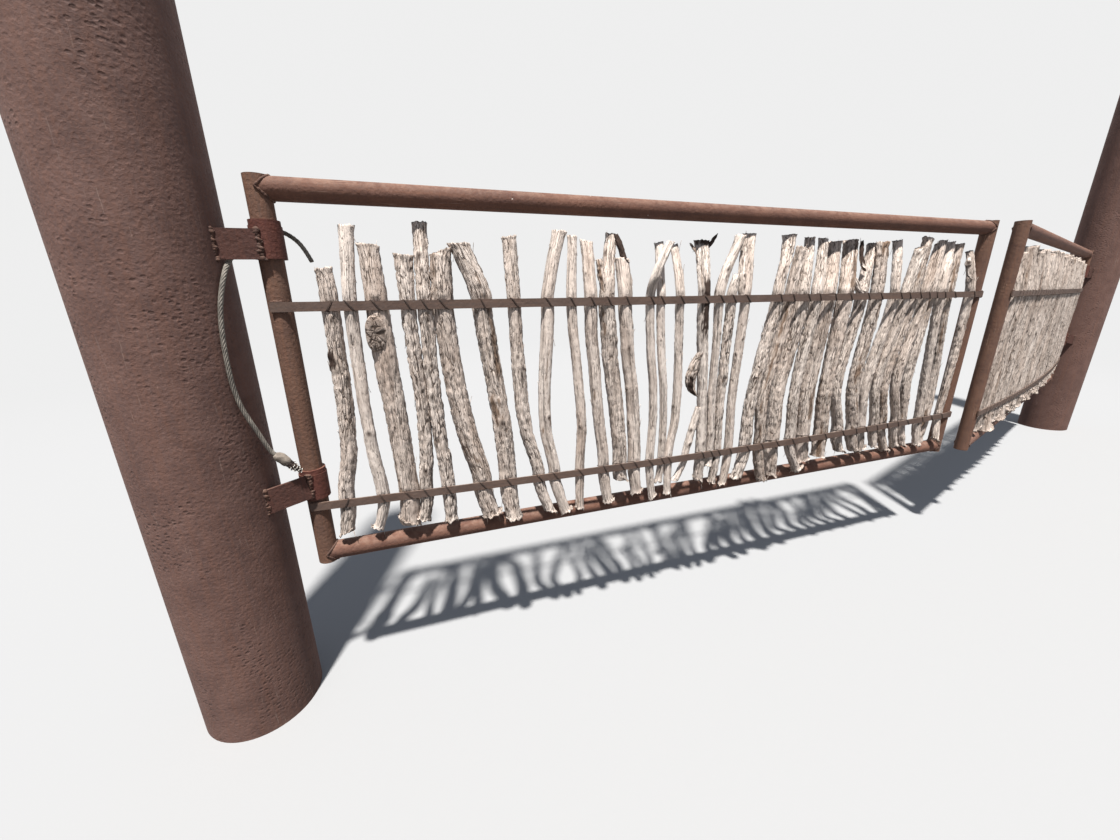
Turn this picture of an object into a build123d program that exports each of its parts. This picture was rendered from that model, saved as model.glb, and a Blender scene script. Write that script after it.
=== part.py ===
"""Double ranch gate: two heavy pipe posts, two pipe-framed leaves filled with branch pickets.

Millimetres. The origin is the centre of the near (left) post's flat base, +X runs from the
near post to the far post, +Y points away from the road side where the viewer stands, +Z is up.
Both leaves stand as they do in use: pushed a few degrees towards the road, in a shallow V.
"""

import math
import os

from build123d import *

os.makedirs("parts", exist_ok=True)

# Posts
post_diameter = 406.4
post_wall = 9.5
post_height = 4000
post_cap_thickness = 8
post_cap_inset = 3

# Leaf frames, pipe 73 mm outside
pipe_diameter = 73.0
pipe_wall = 5.5
stile_spacing = 3585
frame_foot = 585
frame_head = 1970
weld_gap = 0.3

# Where the hinge pins stand from the post's centre, and what is left between the closed leaves
hinge_out = 320
near_hinge_forward = 40
far_hinge_forward = 5
closed_axis_gap = 100
near_rest_angle = 7.9
far_rest_angle = 9.7

# Sleeve hinges: each sleeve's middle below the frame's head or above the frame's foot
sleeve_diameter = 95.0
sleeve_wall = 9.4
sleeve_height = 100
near_upper_sleeve_drop = 198
near_lower_sleeve_rise = 333
far_upper_sleeve_drop = 218
far_lower_sleeve_rise = 467
collar_diameter = 90.0
collar_height = 17
collar_gap = 0.3
collar_fit = 0.3

# Hinge plates: how far short of the hinge pin they end, how far below the sleeve's middle they
# are welded on, and how far they are turned in plan and dip towards the post, in degrees
plate_height = 90
plate_thickness = 10
plate_reach = 160
plate_setback = 22
upper_plate_drop = 8
lower_plate_drop = -10
upper_plate_turn = -3
lower_plate_turn = 6
upper_plate_dip = 1
lower_plate_dip = 10

# Flat bars across the front of each leaf, below the frame's head and above its foot
bar_height = 32
bar_thickness = 6
bar_bow = 55
bar_overrun = 22
upper_bar_drop = 398
lower_bar_rise = 253
seat_gap = 0.3

# Pickets: how far they stay from the rails and stiles, the straight length behind a bar,
# where between the bars they bend, and how their width changes
rail_clearance = 2.0
stile_clearance = 4
straight_half = 22
crook_share = 0.3
picket_depth_share = 0.9
foot_share = 0.86
near_group_count = 6
far_group_count = 8

# The far leaf's pickets: spacing, and how much they vary
far_first_place = 100
far_pitch = 76
far_lean = 9
far_sway = 4
far_foot_rise = 170
far_foot_fall = 60
far_foot_spread = 50
far_head_drop = 127
far_head_spread = 28
far_width = 58
far_width_spread = 7
far_head_share = 0.84

post_spacing = 2 * hinge_out + 2 * stile_spacing + closed_axis_gap
post_radius = post_diameter / 2
pipe_radius = pipe_diameter / 2
sleeve_radius = sleeve_diameter / 2
top_rail_height = frame_head - pipe_radius
bottom_rail_height = frame_foot + pipe_radius
near_upper_sleeve = frame_head - near_upper_sleeve_drop
near_lower_sleeve = frame_foot + near_lower_sleeve_rise
far_upper_sleeve = frame_head - far_upper_sleeve_drop
far_lower_sleeve = frame_foot + far_lower_sleeve_rise
upper_bar_middle = frame_head - upper_bar_drop
lower_bar_middle = frame_foot + lower_bar_rise
crook_height = lower_bar_middle + crook_share * (upper_bar_middle - lower_bar_middle)

# One entry for each leaf: its name, where its hinge stands and which way the leaf runs in X
leaves = {
    "near": (Vector(hinge_out, -near_hinge_forward, 0), 1, -near_rest_angle),
    "far": (Vector(post_spacing - hinge_out, -far_hinge_forward, 0), -1, far_rest_angle),
}

# Each hinge's level, with its near and far sleeves' middles and its plates' drop, turn and dip
hinge_levels = [
    ("upper", {"near": near_upper_sleeve, "far": far_upper_sleeve},
     (upper_plate_drop, upper_plate_turn, upper_plate_dip)),
    ("lower", {"near": near_lower_sleeve, "far": far_lower_sleeve},
     (lower_plate_drop, lower_plate_turn, lower_plate_dip)),
]


def leaf_plane(leaf):
    """Floor plane of a leaf at rest: origin on its hinge axis, local +Y away from the road."""
    hinge, _, turn = leaves[leaf]
    along = Vector(math.cos(math.radians(turn)), math.sin(math.radians(turn)), 0)
    return Plane(origin=hinge, x_dir=along, z_dir=(0, 0, 1))


def save(piece, name):
    piece.part.label = name
    export_step(piece.part, f"parts/{name}.step")


def post(name, base_x):
    with BuildPart() as tube:
        with BuildSketch(Plane.XY):
            with Locations((base_x, 0)):
                Circle(post_radius)
                Circle(post_radius - post_wall, mode=Mode.SUBTRACT)
        extrude(amount=post_height)
        with BuildSketch(Plane.XY):
            with Locations((base_x, 0)):
                Circle(post_radius)
        extrude(amount=post_wall)
    save(tube, f"{name}_post")

    with BuildPart() as cap:
        with BuildSketch(Plane.XY.offset(post_height)):
            with Locations((base_x, 0)):
                Circle(post_radius - post_cap_inset)
        extrude(amount=post_cap_thickness)
    save(cap, f"{name}_post_cap")


def ring(name, leaf, outer, inner, bottom, height):
    """A short tube round a leaf's hinge axis."""
    hinge = leaves[leaf][0]
    with BuildPart() as tube:
        with BuildSketch(Plane.XY.offset(bottom)):
            with Locations((hinge.X, hinge.Y)):
                Circle(outer)
                Circle(inner, mode=Mode.SUBTRACT)
        extrude(amount=height)
    save(tube, name)


def hinge_plate(name, leaf, middle, turn, dip):
    """Flat plate on the road side, from the post's skin to the flank of the sleeve, which its
    back edge just meets."""
    hinge, side, _ = leaves[leaf]
    post_x = 0 if side > 0 else post_spacing
    nearest = max(plate_setback - plate_height / 2 * math.sin(math.radians(dip)), 0)
    back_face = -math.sqrt(sleeve_radius**2 - nearest**2) - weld_gap
    floor = Plane(origin=hinge, z_dir=(0, 0, 1)).rotated((0, 0, side * turn))
    sleeve_end = floor.from_local_coords((-side * plate_setback, back_face, middle))
    slope = Vector(0, 0, side * math.tan(math.radians(dip)))
    face = Plane(origin=sleeve_end, x_dir=floor.x_dir + slope, z_dir=-floor.y_dir)
    with BuildPart() as plate:
        with BuildSketch(face):
            with Locations((-side * plate_reach / 2, 0)):
                Rectangle(plate_reach, plate_height)
        extrude(amount=plate_thickness)
        with BuildSketch(Plane.XY.offset(middle - plate_height)):
            with Locations((post_x, 0)):
                Circle(post_radius + weld_gap)
        extrude(amount=2 * plate_height, mode=Mode.SUBTRACT)
    save(plate, name)


def upright(name, leaf, along):
    with BuildPart() as stile:
        with BuildSketch(leaf_plane(leaf).offset(frame_foot)):
            with Locations((along, 0)):
                Circle(pipe_radius)
                Circle(pipe_radius - pipe_wall, mode=Mode.SUBTRACT)
        extrude(amount=frame_head - frame_foot)
    save(stile, name)


def rail(name, leaf, height):
    """A level pipe, coped at both ends to sit round the stiles."""
    side = leaves[leaf][1]
    floor = leaf_plane(leaf)
    start = floor.from_local_coords((0, 0, height))
    with BuildPart() as pipe:
        with BuildSketch(Plane(origin=start, x_dir=floor.y_dir, z_dir=floor.x_dir * side)):
            Circle(pipe_radius)
            Circle(pipe_radius - pipe_wall, mode=Mode.SUBTRACT)
        extrude(amount=stile_spacing)
        with BuildSketch(floor.offset(height - pipe_diameter)):
            with Locations((0, 0), (side * stile_spacing, 0)):
                Circle(pipe_radius + weld_gap)
        extrude(amount=2 * pipe_diameter, mode=Mode.SUBTRACT)
    save(pipe, name)


# The bars' back face is an arc in plan that just touches the front of both stiles
half_span = stile_spacing / 2
bow_radius = (half_span**2 / bar_bow + bar_bow) / 2 + pipe_radius
bow_centre = bow_radius - pipe_radius - weld_gap - bar_bow


def behind_bar(along, inset):
    """Local Y of a point that lies inset behind the bars' back face, at a place along the leaf."""
    return bow_centre - math.sqrt((bow_radius - inset) ** 2 - (along - half_span) ** 2)


def flat_bar(name, leaf, middle):
    side = leaves[leaf][1]
    first, last = -bar_overrun, stile_spacing + bar_overrun
    places = (first, half_span, last)
    back = [(side * s, behind_bar(s, 0)) for s in places]
    front = [(side * s, behind_bar(s, -bar_thickness)) for s in reversed(places)]
    with BuildPart() as bar:
        with BuildSketch(leaf_plane(leaf).offset(middle - bar_height / 2)):
            with BuildLine():
                ThreePointArc(*back)
                Line(back[-1], front[0])
                ThreePointArc(*front)
                Line(front[-1], back[0])
            make_face()
        extrude(amount=bar_height)
    save(bar, name)


# Cross-section of a branch, corner distances from its heart for a branch 1 mm wide
branch_corners = [0.50, 0.47, 0.50, 0.46, 0.49, 0.48, 0.50, 0.45]


def branch_outline(width, turn):
    """Corners of a branch's cross-section round its heart: (along the leaf, away from the road)."""
    count = len(branch_corners)
    corners = []
    for i in range(count):
        angle = math.radians(360 * (i + 0.5) / count)
        size = branch_corners[(i + turn) % count] * width
        corners.append((size * math.cos(angle), picket_depth_share * size * math.sin(angle)))
    return corners


def tied_depth(outline, along):
    """Local Y of the heart of a branch whose front just meets the bars' back face."""
    slope = (along - half_span) / bow_radius
    front = max(x * slope - y * math.sqrt(1 - slope**2) for x, y in outline)
    return behind_bar(along, front + seat_gap)


def branch_section(leaf, turn, height, along, width, forward=0):
    """One cross-section of a branch, as points, its front against the bars' back face."""
    side = leaves[leaf][1]
    outline = branch_outline(width, turn)
    heart = tied_depth(outline, along) - forward
    if height < frame_foot + pipe_diameter + rail_clearance:
        back = max(y for _, y in outline)
        heart = min(heart, -pipe_radius - rail_clearance - back)
    return [(side * (along + x), heart + y) for x, y in outline]


def branch(leaf, turn, stations):
    """A length of branch through stations of (height, place along the leaf, width, forward)."""
    floor = leaf_plane(leaf)
    with BuildPart() as wood:
        for height, along, width, forward in stations:
            with BuildSketch(floor.offset(height)):
                with BuildLine():
                    Polyline(*branch_section(leaf, turn, height, along, width, forward), close=True)
                make_face()
        loft(ruled=True)
    return wood.part


def picket(leaf, turn, places, foot_rise, head_drop, width, head_width, knee=None, limb=None):
    """One crooked branch, tied behind both bars. places: along the leaf at foot, lower bar,
    crook, upper bar and head. A knee is (rise above the upper bar, place, how far forward):
    the branch bends there and its head stays forward. A limb is a second branch's stations."""
    at_foot, at_lower, at_crook, at_upper, at_head = places
    stations = [
        (frame_foot + foot_rise, at_foot, width * foot_share, 0),
        (lower_bar_middle - straight_half, at_lower, width, 0),
        (lower_bar_middle + straight_half, at_lower, width, 0),
        (crook_height, at_crook, width, 0),
        (upper_bar_middle - straight_half, at_upper, width, 0),
        (upper_bar_middle + straight_half, at_upper, width, 0),
    ]
    forward = 0
    if knee:
        rise, place, forward = knee
        stations.append((upper_bar_middle + rise, place, width, forward))
    stations.append((frame_head - head_drop, at_head, head_width, forward))
    with BuildPart() as wood:
        add(branch(leaf, turn, stations))
        if limb:
            add(branch(leaf, turn, limb))
    return wood.part


# Near leaf pickets from the hinge outwards: places along the leaf at foot, lower bar, crook,
# upper bar and head, then the foot's rise above the frame's foot, the head's drop below the
# frame's head, width and head width
near_pickets = [
    ((82, 106, 140, 155, 151), 92, 264, 55, 50),
    ((199, 237, 220, 220, 243), 100, 130, 46, 48),
    ((323, 335, 328, 305, 302), 87, 186, 65, 62),
    ((376, 402, 420, 409, 411), 106, 220, 42, 50),
    ((489, 490, 475, 467, 475), 91, 110, 48, 48),
    ((666, 631, 584, 532, 536), 76, 194, 67, 62),
    ((753, 738, 729, 673, 602), 64, 180, 66, 56),
    ((927, 873, 824, 795, 786), 50, 150, 52, 52),
    ((1002, 945, 908, 927, 978), 40, 127, 50, 52),
    ((1060, 1062, 1071, 1025, 1028), 52, 145, 35, 30),
    ((1209, 1178, 1154, 1110, 1088), 62, 155, 46, 44),
    ((1273, 1264, 1244, 1182, 1193), 150, 124, 55, 40),
    ((1354, 1333, 1322, 1264, 1240), 80, 222, 48, 44),
    ((1437, 1411, 1417, 1376, 1435), 44, 160, 38, 29),
    ((1464, 1473, 1471, 1426, 1400), 130, 150, 35, 35),
    ((1517, 1512, 1538, 1521, 1470), 54, 156, 37, 33),
    ((1692, 1698, 1685, 1645, 1611), 83, 137, 49, 60),
    ((1743, 1749, 1735, 1724, 1812), 168, 122, 31, 27),
    ((1772, 1792, 1782, 1789, 1805), 62, 282, 35, 25),
    ((1844, 1860, 1851, 1866, 1860), 50, 106, 42, 40),
    ((1933, 1969, 1972, 2055, 2087), 75, 104, 45, 60),
    ((2106, 2060, 2048, 2131, 2156), 35, 162, 44, 39),
    ((2186, 2162, 2155, 2226, 2219), 30, 110, 54, 42),
    ((2352, 2265, 2249, 2297, 2284), 50, 112, 42, 35),
    ((2399, 2380, 2368, 2397, 2381), 95, 117, 64, 56),
    ((2498, 2498, 2475, 2503, 2471), 100, 107, 60, 54),
    ((2683, 2632, 2566, 2629, 2635), 99, 128, 42, 34),
    ((2786, 2734, 2685, 2723, 2699), 90, 127, 44, 38),
    ((2852, 2817, 2790, 2875, 2813), 93, 105, 41, 42),
    ((2941, 2906, 2860, 2945, 3002), 105, 138, 38, 40),
    ((3069, 2994, 2946, 3033, 3052), 64, 88, 43, 40),
    ((3138, 3088, 3024, 3107, 3143), 83, 108, 35, 34),
    ((3224, 3177, 3143, 3172, 3180), 67, 103, 36, 22),
    ((3332, 3316, 3294, 3246, 3221), 69, 106, 37, 22),
    ((3388, 3407, 3399, 3338, 3330), 79, 115, 38, 46),
    ((3498, 3510, 3516, 3522, 3406), 66, 152, 40, 26),
]

# The twelfth picket's broken left fork, and the seventeenth's left foot, tied like the rest
fork_rise = 168
fork_width = 30
fork_tip_width = 24
broken_fork = [
    (upper_bar_middle + straight_half, 1172, fork_width, 0),
    (upper_bar_middle + fork_rise, 1139, fork_tip_width, 0),
]
left_foot_rise = 123
left_foot_joint_rise = 500
left_foot_width = 33
left_foot = [
    (frame_foot + left_foot_joint_rise, 1662, left_foot_width + 1, 0),
    (lower_bar_middle + straight_half, 1611, left_foot_width, 0),
    (lower_bar_middle - straight_half, 1605, left_foot_width, 0),
    (frame_foot + left_foot_rise, 1560, left_foot_width, 0),
]
# The fourteenth crosses in front of the fifteenth above the upper bar
crossing_knee = (90, 1372, 38)
near_forms = {12: {"limb": broken_fork}, 14: {"knee": crossing_knee}, 17: {"limb": left_foot}}


def near_rows():
    """The near pickets that fit between the stiles."""
    edge = stile_spacing - pipe_radius - stile_clearance
    fitting = [row for row in near_pickets if max(row[0]) + row[3] / 2 < edge]
    return [(row, near_forms.get(number, {})) for number, row in enumerate(fitting, start=1)]


def far_rows():
    """The far leaf is packed closely, each branch following its neighbour's lean."""
    room = stile_spacing - 2 * far_first_place
    rows = []
    for i in range(int(room // far_pitch) + 1):
        along = far_first_place + i * far_pitch
        lean, sway = far_lean * math.sin(0.5 * i), far_sway * math.sin(1.7 * i)
        places = (along - lean, along - lean / 2, along + sway, along + lean / 2, along + lean)
        foot_rise = far_foot_rise - far_foot_fall * along / stile_spacing
        foot_rise += far_foot_spread * math.sin(3.7 * i)
        head_drop = far_head_drop + far_head_spread * math.sin(2.3 * i) * math.cos(1.1 * i)
        width = far_width + far_width_spread * math.sin(2.9 * i)
        rows.append(((places, foot_rise, head_drop, width, width * far_head_share), {}))
    return rows


def picket_groups(leaf, rows, count):
    """Saves the pickets as nodes of so many each."""
    for start in range(0, len(rows), count):
        chosen = enumerate(rows[start:start + count])
        branches = [picket(leaf, turn, *row, **form) for turn, (row, form) in chosen]
        with BuildPart() as group:
            add(branches)
        save(group, f"{leaf}_pickets_{start // count + 1}")


# Loose steel cable left in the near hinge: over the back of the sleeve, out under the upper
# plate and down the post, its clamped end hanging above the lower sleeve
cable_diameter = 15
cable_end_diameter = 34
cable_end_length = 100
cable_end_taper = 25
# Its points by the upper sleeve, heights from that sleeve's middle
cable_by_sleeve = [
    (434, -4, -52),
    (417, 8, -6),
    (385, 19, 31),
    (342, 26, 51),
    (295, 25, 50),
    (254, 10, 27),
    (230, -18, -10),
    (214, -52, -48),
    (201, -86, -78),
]
# Its points down the post, heights as a share of the way up between the sleeves' middles
cable_down_post = [
    (189, -110, 0.857),
    (173, -124, 0.781),
    (165, -133, 0.705),
    (161, -138, 0.635),
    (159, -141, 0.559),
    (159, -141, 0.482),
    (169, -138, 0.391),
    (195, -130, 0.296),
    (209, -124, 0.237),
    (221, -120, 0.197),
    (235, -119, 0.181),
]
between_sleeves = near_upper_sleeve - near_lower_sleeve
cable_route = [(x, y, near_upper_sleeve + rise) for x, y, rise in cable_by_sleeve]
cable_route += [(x, y, near_lower_sleeve + up * between_sleeves) for x, y, up in cable_down_post]


def corner_radii(route):
    """Largest arc that each corner's two runs allow."""
    radii = []
    for before, here, after in zip(route, route[1:], route[2:]):
        run_in, run_out = Vector(here) - Vector(before), Vector(after) - Vector(here)
        half_turn = math.radians(run_in.get_angle(run_out)) / 2
        radii.append(0.45 * min(run_in.length, run_out.length) / math.tan(half_turn))
    return radii


def cable():
    radii = corner_radii(cable_route)
    print("cable corner radii:", [round(r) for r in radii])
    with BuildPart() as tube:
        with BuildLine():
            path = FilletPolyline(*cable_route, radius=radii)
        with BuildSketch(Plane(origin=path @ 0, z_dir=path % 0)):
            Circle(cable_diameter / 2)
        sweep()
    straight_volume = math.pi * cable_diameter**2 / 4 * path.length
    print("cable length", round(path.length), "volume share", round(tube.part.volume / straight_volume, 4))
    save(tube, "cable")

    end_plane = Plane(origin=path @ 1, z_dir=path % 1)
    with BuildPart() as end:
        with BuildSketch(end_plane):
            Circle(cable_diameter / 2)
        with BuildSketch(end_plane.offset(cable_end_taper)):
            Circle(cable_end_diameter / 2)
        loft()
        with BuildSketch(end_plane.offset(cable_end_taper)):
            Circle(cable_end_diameter / 2)
        extrude(amount=cable_end_length - cable_end_taper)
    save(end, "cable_end")


post("near", 0)
post("far", post_spacing)

sleeve_bore = sleeve_radius - sleeve_wall
for leaf in leaves:
    for level, middles, (drop, turn, dip) in hinge_levels:
        middle = middles[leaf]
        bottom, top = middle - sleeve_height / 2, middle + sleeve_height / 2
        ring(f"{leaf}_{level}_sleeve", leaf, sleeve_radius, sleeve_bore, bottom, sleeve_height)
        ring(
            f"{leaf}_{level}_collar", leaf, collar_diameter / 2, pipe_radius + collar_fit,
            top + collar_gap, collar_height,
        )
        hinge_plate(f"{leaf}_{level}_hinge_plate", leaf, middle - drop, turn, dip)
    side = leaves[leaf][1]
    upright(f"{leaf}_hinge_stile", leaf, 0)
    upright(f"{leaf}_meeting_stile", leaf, side * stile_spacing)
    rail(f"{leaf}_top_rail", leaf, top_rail_height)
    rail(f"{leaf}_bottom_rail", leaf, bottom_rail_height)
    flat_bar(f"{leaf}_upper_bar", leaf, upper_bar_middle)
    flat_bar(f"{leaf}_lower_bar", leaf, lower_bar_middle)

picket_groups("near", near_rows(), near_group_count)
picket_groups("far", far_rows(), far_group_count)
cable()
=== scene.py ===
# %% [markdown]
# # A double ranch gate, dressed around its steel frame
#
# The packed CAD model is a fixed frame: two pipe posts, two pipe leaves on sleeve hinges, flat
# bars, and simple branch solids. Here the steel keeps its CAD shape and gets rust, dust and weld
# beads. The branches are rebuilt as split, knotted, sun-bleached wood, and tied with wire.
# Everything is in metres in the frame of the CAD model: X runs from the near post to the far
# post, Y away from the front of the gate, and Z up.

# %% Load the frame
import math

import bpy
import numpy as np
from mathutils import Matrix, Vector


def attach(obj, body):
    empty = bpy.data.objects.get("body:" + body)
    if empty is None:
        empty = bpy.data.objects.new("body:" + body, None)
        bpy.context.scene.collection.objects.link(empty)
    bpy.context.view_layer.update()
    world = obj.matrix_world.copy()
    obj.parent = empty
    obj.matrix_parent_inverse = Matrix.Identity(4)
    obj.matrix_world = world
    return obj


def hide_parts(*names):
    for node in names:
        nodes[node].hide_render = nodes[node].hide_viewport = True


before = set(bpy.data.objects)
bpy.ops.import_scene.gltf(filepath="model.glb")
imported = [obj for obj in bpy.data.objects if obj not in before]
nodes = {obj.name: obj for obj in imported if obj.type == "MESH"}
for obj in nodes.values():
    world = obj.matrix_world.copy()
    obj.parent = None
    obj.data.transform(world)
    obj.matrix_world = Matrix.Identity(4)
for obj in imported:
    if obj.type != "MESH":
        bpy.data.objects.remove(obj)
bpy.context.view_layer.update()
scene = bpy.context.scene
print("frame loaded:", len(nodes), "nodes")

# %% [markdown]
# ## Camera
#
# The camera stands about a metre and a half in front of the near leaf's hinge end and looks
# along the gate through a wide lens. It could be placed by eye, but with so wide a lens a few
# centimetres show. So its place, turn and lens were fitted to the edges of the straight pipes.

# %% Camera
camera_place = Vector((0.508, -1.790, 1.605))
camera_yaw, camera_pitch, camera_roll = (math.radians(a) for a in (26.243, 16.679, -0.694))
lens_mm, sensor_mm = 13.586, 36
forward = Vector((math.sin(camera_yaw) * math.cos(camera_pitch),
                  math.cos(camera_yaw) * math.cos(camera_pitch), -math.sin(camera_pitch)))
level_right = Vector((math.cos(camera_yaw), -math.sin(camera_yaw), 0))
level_up = level_right.cross(forward)
right = level_right * math.cos(camera_roll) + level_up * math.sin(camera_roll)
up = level_up * math.cos(camera_roll) - level_right * math.sin(camera_roll)

camera_data = bpy.data.cameras.new("camera")
camera_data.sensor_width = sensor_mm
camera_data.lens = lens_mm
camera = bpy.data.objects.new("camera", camera_data)
scene.collection.objects.link(camera)
turn = Matrix((right, up, -forward)).transposed().to_4x4()
camera.matrix_world = Matrix.Translation(camera_place) @ turn
scene.camera = camera
print("camera:", lens_mm, "mm lens,", round(camera_place.z, 2), "m above the floor")

# %% [markdown]
# ## Leaf frames
#
# Each leaf hangs on its own upright pipe and stands a few degrees forward of the line between
# the posts. Its pieces could be placed straight in the gate's frame, with a turn in every sum.
# It is plainer to place them in the leaf's own flat frame, as a place along it from the hinge, a
# depth away from the front and a height, and to let one function turn that into the gate's.

# %% Leaf frames
leaf_length, pipe_radius = 3.585, 0.0365
# Each hinge: x, y, how many degrees its leaf is turned to the front, and which way it runs in X
hinges = {"near": (0.32, -0.04, 7.9, 1), "far": (7.59, -0.005, 9.7, -1)}
upright = np.array([0, 0, 1.0])


def leaf_axes(leaf):
    """The foot of a leaf's hinge, and the directions along the leaf and away from its front."""
    x, y, angle, side = hinges[leaf]
    angle = math.radians(angle)
    along = np.array([side * math.cos(angle), -math.sin(angle), 0])
    away = np.array([side * math.sin(angle), math.cos(angle), 0])
    return np.array([x, y, 0]), along, away


def on_leaf(leaf, place, depth, height):
    """Points of the gate from places, depths and heights on a leaf."""
    hinge, along, away = leaf_axes(leaf)
    place, depth, height = (np.asarray(value, float) for value in (place, depth, height))
    place, depth, height = np.broadcast_arrays(place, depth, height)
    flat = hinge + place[..., None] * along + depth[..., None] * away
    return flat + height[..., None] * upright


def to_leaf(leaf, points):
    """Places, depths and heights on a leaf from points of the gate."""
    hinge, along, away = leaf_axes(leaf)
    return np.stack([(points - hinge) @ along, (points - hinge) @ away, points[..., 2]], -1)


for leaf in hinges:
    print(leaf, "leaf ends at", on_leaf(leaf, leaf_length, 0, 0).round(3))

# %% [markdown]
# ## Bowed bars
#
# Two flat bars hold the branches from the front. They are welded to the upright pipes and bow
# 55 mm forward between them. One arc gives the depth of a bar's back at every place, and the
# branches, tie wires and beads all ask it, so that none of them sinks into the steel.

# %% Bowed bars
bar_thickness, bar_half_height = 0.006, 0.016
upper_bar, lower_bar = 1.572, 0.838
bow, seat = 0.055, 0.0003
half_span = leaf_length / 2
bow_radius = (half_span**2 / bow + bow) / 2 + pipe_radius
bow_centre = bow_radius - pipe_radius - seat - bow


def behind_bar(place, inset=0.0):
    """Depth of a point that lies inset behind the bars' back face."""
    return bow_centre - np.sqrt((bow_radius - inset) ** 2 - (np.asarray(place) - half_span) ** 2)


print("the bars bow on a radius of", round(bow_radius, 2), "m")

# %% [markdown]
# ## Noise
#
# Wood and weld metal are uneven, and they have to be uneven in the same way on every run. A
# random number for each point would make neighbours jump. Value noise is smooth: each corner of
# a grid gets a fixed random number, and a point inside a cell gets a blend of its corners.

# %% Noise
corner_mixers = (374761393, 668265263, 2147483647)
seed_mixer, first_stir, last_stir = 974634777, 1274126177, 2246822519
low_bits = 0xFFFFFFFF


def hashed(cells, seed):
    """A fixed random number from 0 to 1 for each whole-number cell."""
    h = sum(cells[..., i].astype(np.int64) * mixer for i, mixer in enumerate(corner_mixers))
    h = (h + seed * seed_mixer) & low_bits
    h = ((h ^ (h >> 13)) * first_stir) & low_bits
    # The last product may run over, which doesn't matter: only its low bits are used
    with np.errstate(over="ignore"):
        h = ((h ^ (h >> 16)) * last_stir) & low_bits
    return (h ^ (h >> 15)) / low_bits


def noise(points, seed=0):
    """Smooth noise from -1 to 1 at each point."""
    cell = np.floor(points)
    t = points - cell
    t = t * t * (3 - 2 * t)
    total = np.zeros(points.shape[:-1])
    for corner in np.ndindex(2, 2, 2):
        weight = np.ones(points.shape[:-1])
        for i in range(3):
            weight = weight * (t[..., i] if corner[i] else 1 - t[..., i])
        total += weight * hashed(cell + np.array(corner), seed)
    return 2 * total - 1


def wobble(x, seed):
    """Smooth noise from -1 to 1 along one direction."""
    x = np.asarray(x, float)
    return noise(np.stack([x, x * 0 + 0.5, x * 0 + 0.5], -1), seed)


def on_circle(angle, radius, third):
    """Points round a circle, at which noise can be read without a seam."""
    return np.stack([np.cos(angle) * radius, np.sin(angle) * radius, angle * 0 + third], -1)


print("noise along a line:", wobble([0.0, 0.5, 1.0, 1.5], 1).round(2))

# %% [markdown]
# ## Skins
#
# Branches, wires, weld beads and the cable's end are all long, round and uneven. A curve with a
# bevel would be quick, but it has one cross section from end to end. A skin over rings of points
# can change at every point: faces join each ring to the next, and the ends may be closed.

# %% Faces and objects
def skin_faces(rings, around, closed=False, start=0):
    """Quads that join rows of around points, each row to the next."""
    faces = []
    for r in range(rings if closed else rings - 1):
        a, b = start + r * around, start + ((r + 1) % rings) * around
        for i in range(around):
            j = (i + 1) % around
            faces.append((a + i, a + j, b + j, b + i))
    return faces


def make_object(name, points, faces, material, smooth=True):
    """A mesh object of one material, linked to the scene."""
    mesh = bpy.data.meshes.new(name)
    mesh.from_pydata([tuple(p) for p in points], [], faces)
    mesh.materials.append(material)
    mesh.polygons.foreach_set("use_smooth", [smooth] * len(mesh.polygons))
    mesh.update()
    piece = bpy.data.objects.new(name, mesh)
    scene.collection.objects.link(piece)
    return piece


def add_attribute(piece, name, values, kind="FLOAT"):
    """One value for each point of a mesh, which its material can read by name."""
    layer = piece.data.attributes.new(name, kind, "POINT")
    flat = np.asarray(values, np.float32).ravel()
    layer.data.foreach_set("vector" if kind == "FLOAT_VECTOR" else "value", flat)


print("a ring of 8 joined to the next takes", len(skin_faces(2, 8)), "faces")

# %% Many skins in one mesh
class Skins:
    """Collects many skins into one mesh."""

    def __init__(self):
        self.points, self.faces, self.count = [], [], 0

    def add(self, rings, closed=False, capped=True):
        rows, around = rings.shape[:2]
        start = self.count
        self.points.append(rings.reshape(-1, 3))
        self.faces += skin_faces(rows, around, closed, start)
        self.count += rows * around
        if capped and not closed:
            self.faces.append(tuple(start + i for i in reversed(range(around))))
            self.faces.append(tuple(start + (rows - 1) * around + i for i in range(around)))

    def finish(self, name, material):
        piece = make_object(name, np.concatenate(self.points), self.faces, material)
        print(name, "has", len(self.faces), "faces")
        return piece


test_skin = Skins()
test_skin.add(np.zeros((2, 8, 3)))
print("with both ends closed it takes", len(test_skin.faces), "faces")

# %% [markdown]
# ## Lines and tubes
#
# A wire is a tube round a line. The line is cut into even steps first. Each point then needs a
# sideways and an upward direction to draw its ring in. Worked out one by one they would spin
# where the line bends, so each is carried on from the last with as little turn as it can.

# %% Lines and tubes
start_side = [0.31, 0.17, 0.93]


def along_path(points, spacing, closed=False):
    """Points spaced evenly along a line."""
    points = np.asarray(points, float)
    if closed:
        points = np.vstack([points, points[:1]])
    runs = np.linalg.norm(np.diff(points, axis=0), axis=1)
    travelled = np.concatenate([[0], np.cumsum(runs)])
    count = max(int(round(travelled[-1] / spacing)), 3)
    wanted = np.linspace(0, travelled[-1], count + 1)
    even = np.stack([np.interp(wanted, travelled, points[:, i]) for i in range(3)], -1)
    return even[:-1] if closed else even


def path_frames(points, closed=False):
    """A sideways and an upward direction at each point of a line."""
    if closed:
        runs = np.roll(points, -1, 0) - np.roll(points, 1, 0)
    else:
        runs = np.gradient(points, axis=0)
    ahead = runs / np.linalg.norm(runs, axis=1)[:, None]
    side = np.cross(ahead[0], start_side)
    sides = []
    for direction in ahead:
        side = side - direction * np.dot(side, direction)
        side = side / np.linalg.norm(side)
        sides.append(side)
    sides = np.array(sides)
    return sides, np.cross(ahead, sides)


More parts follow.
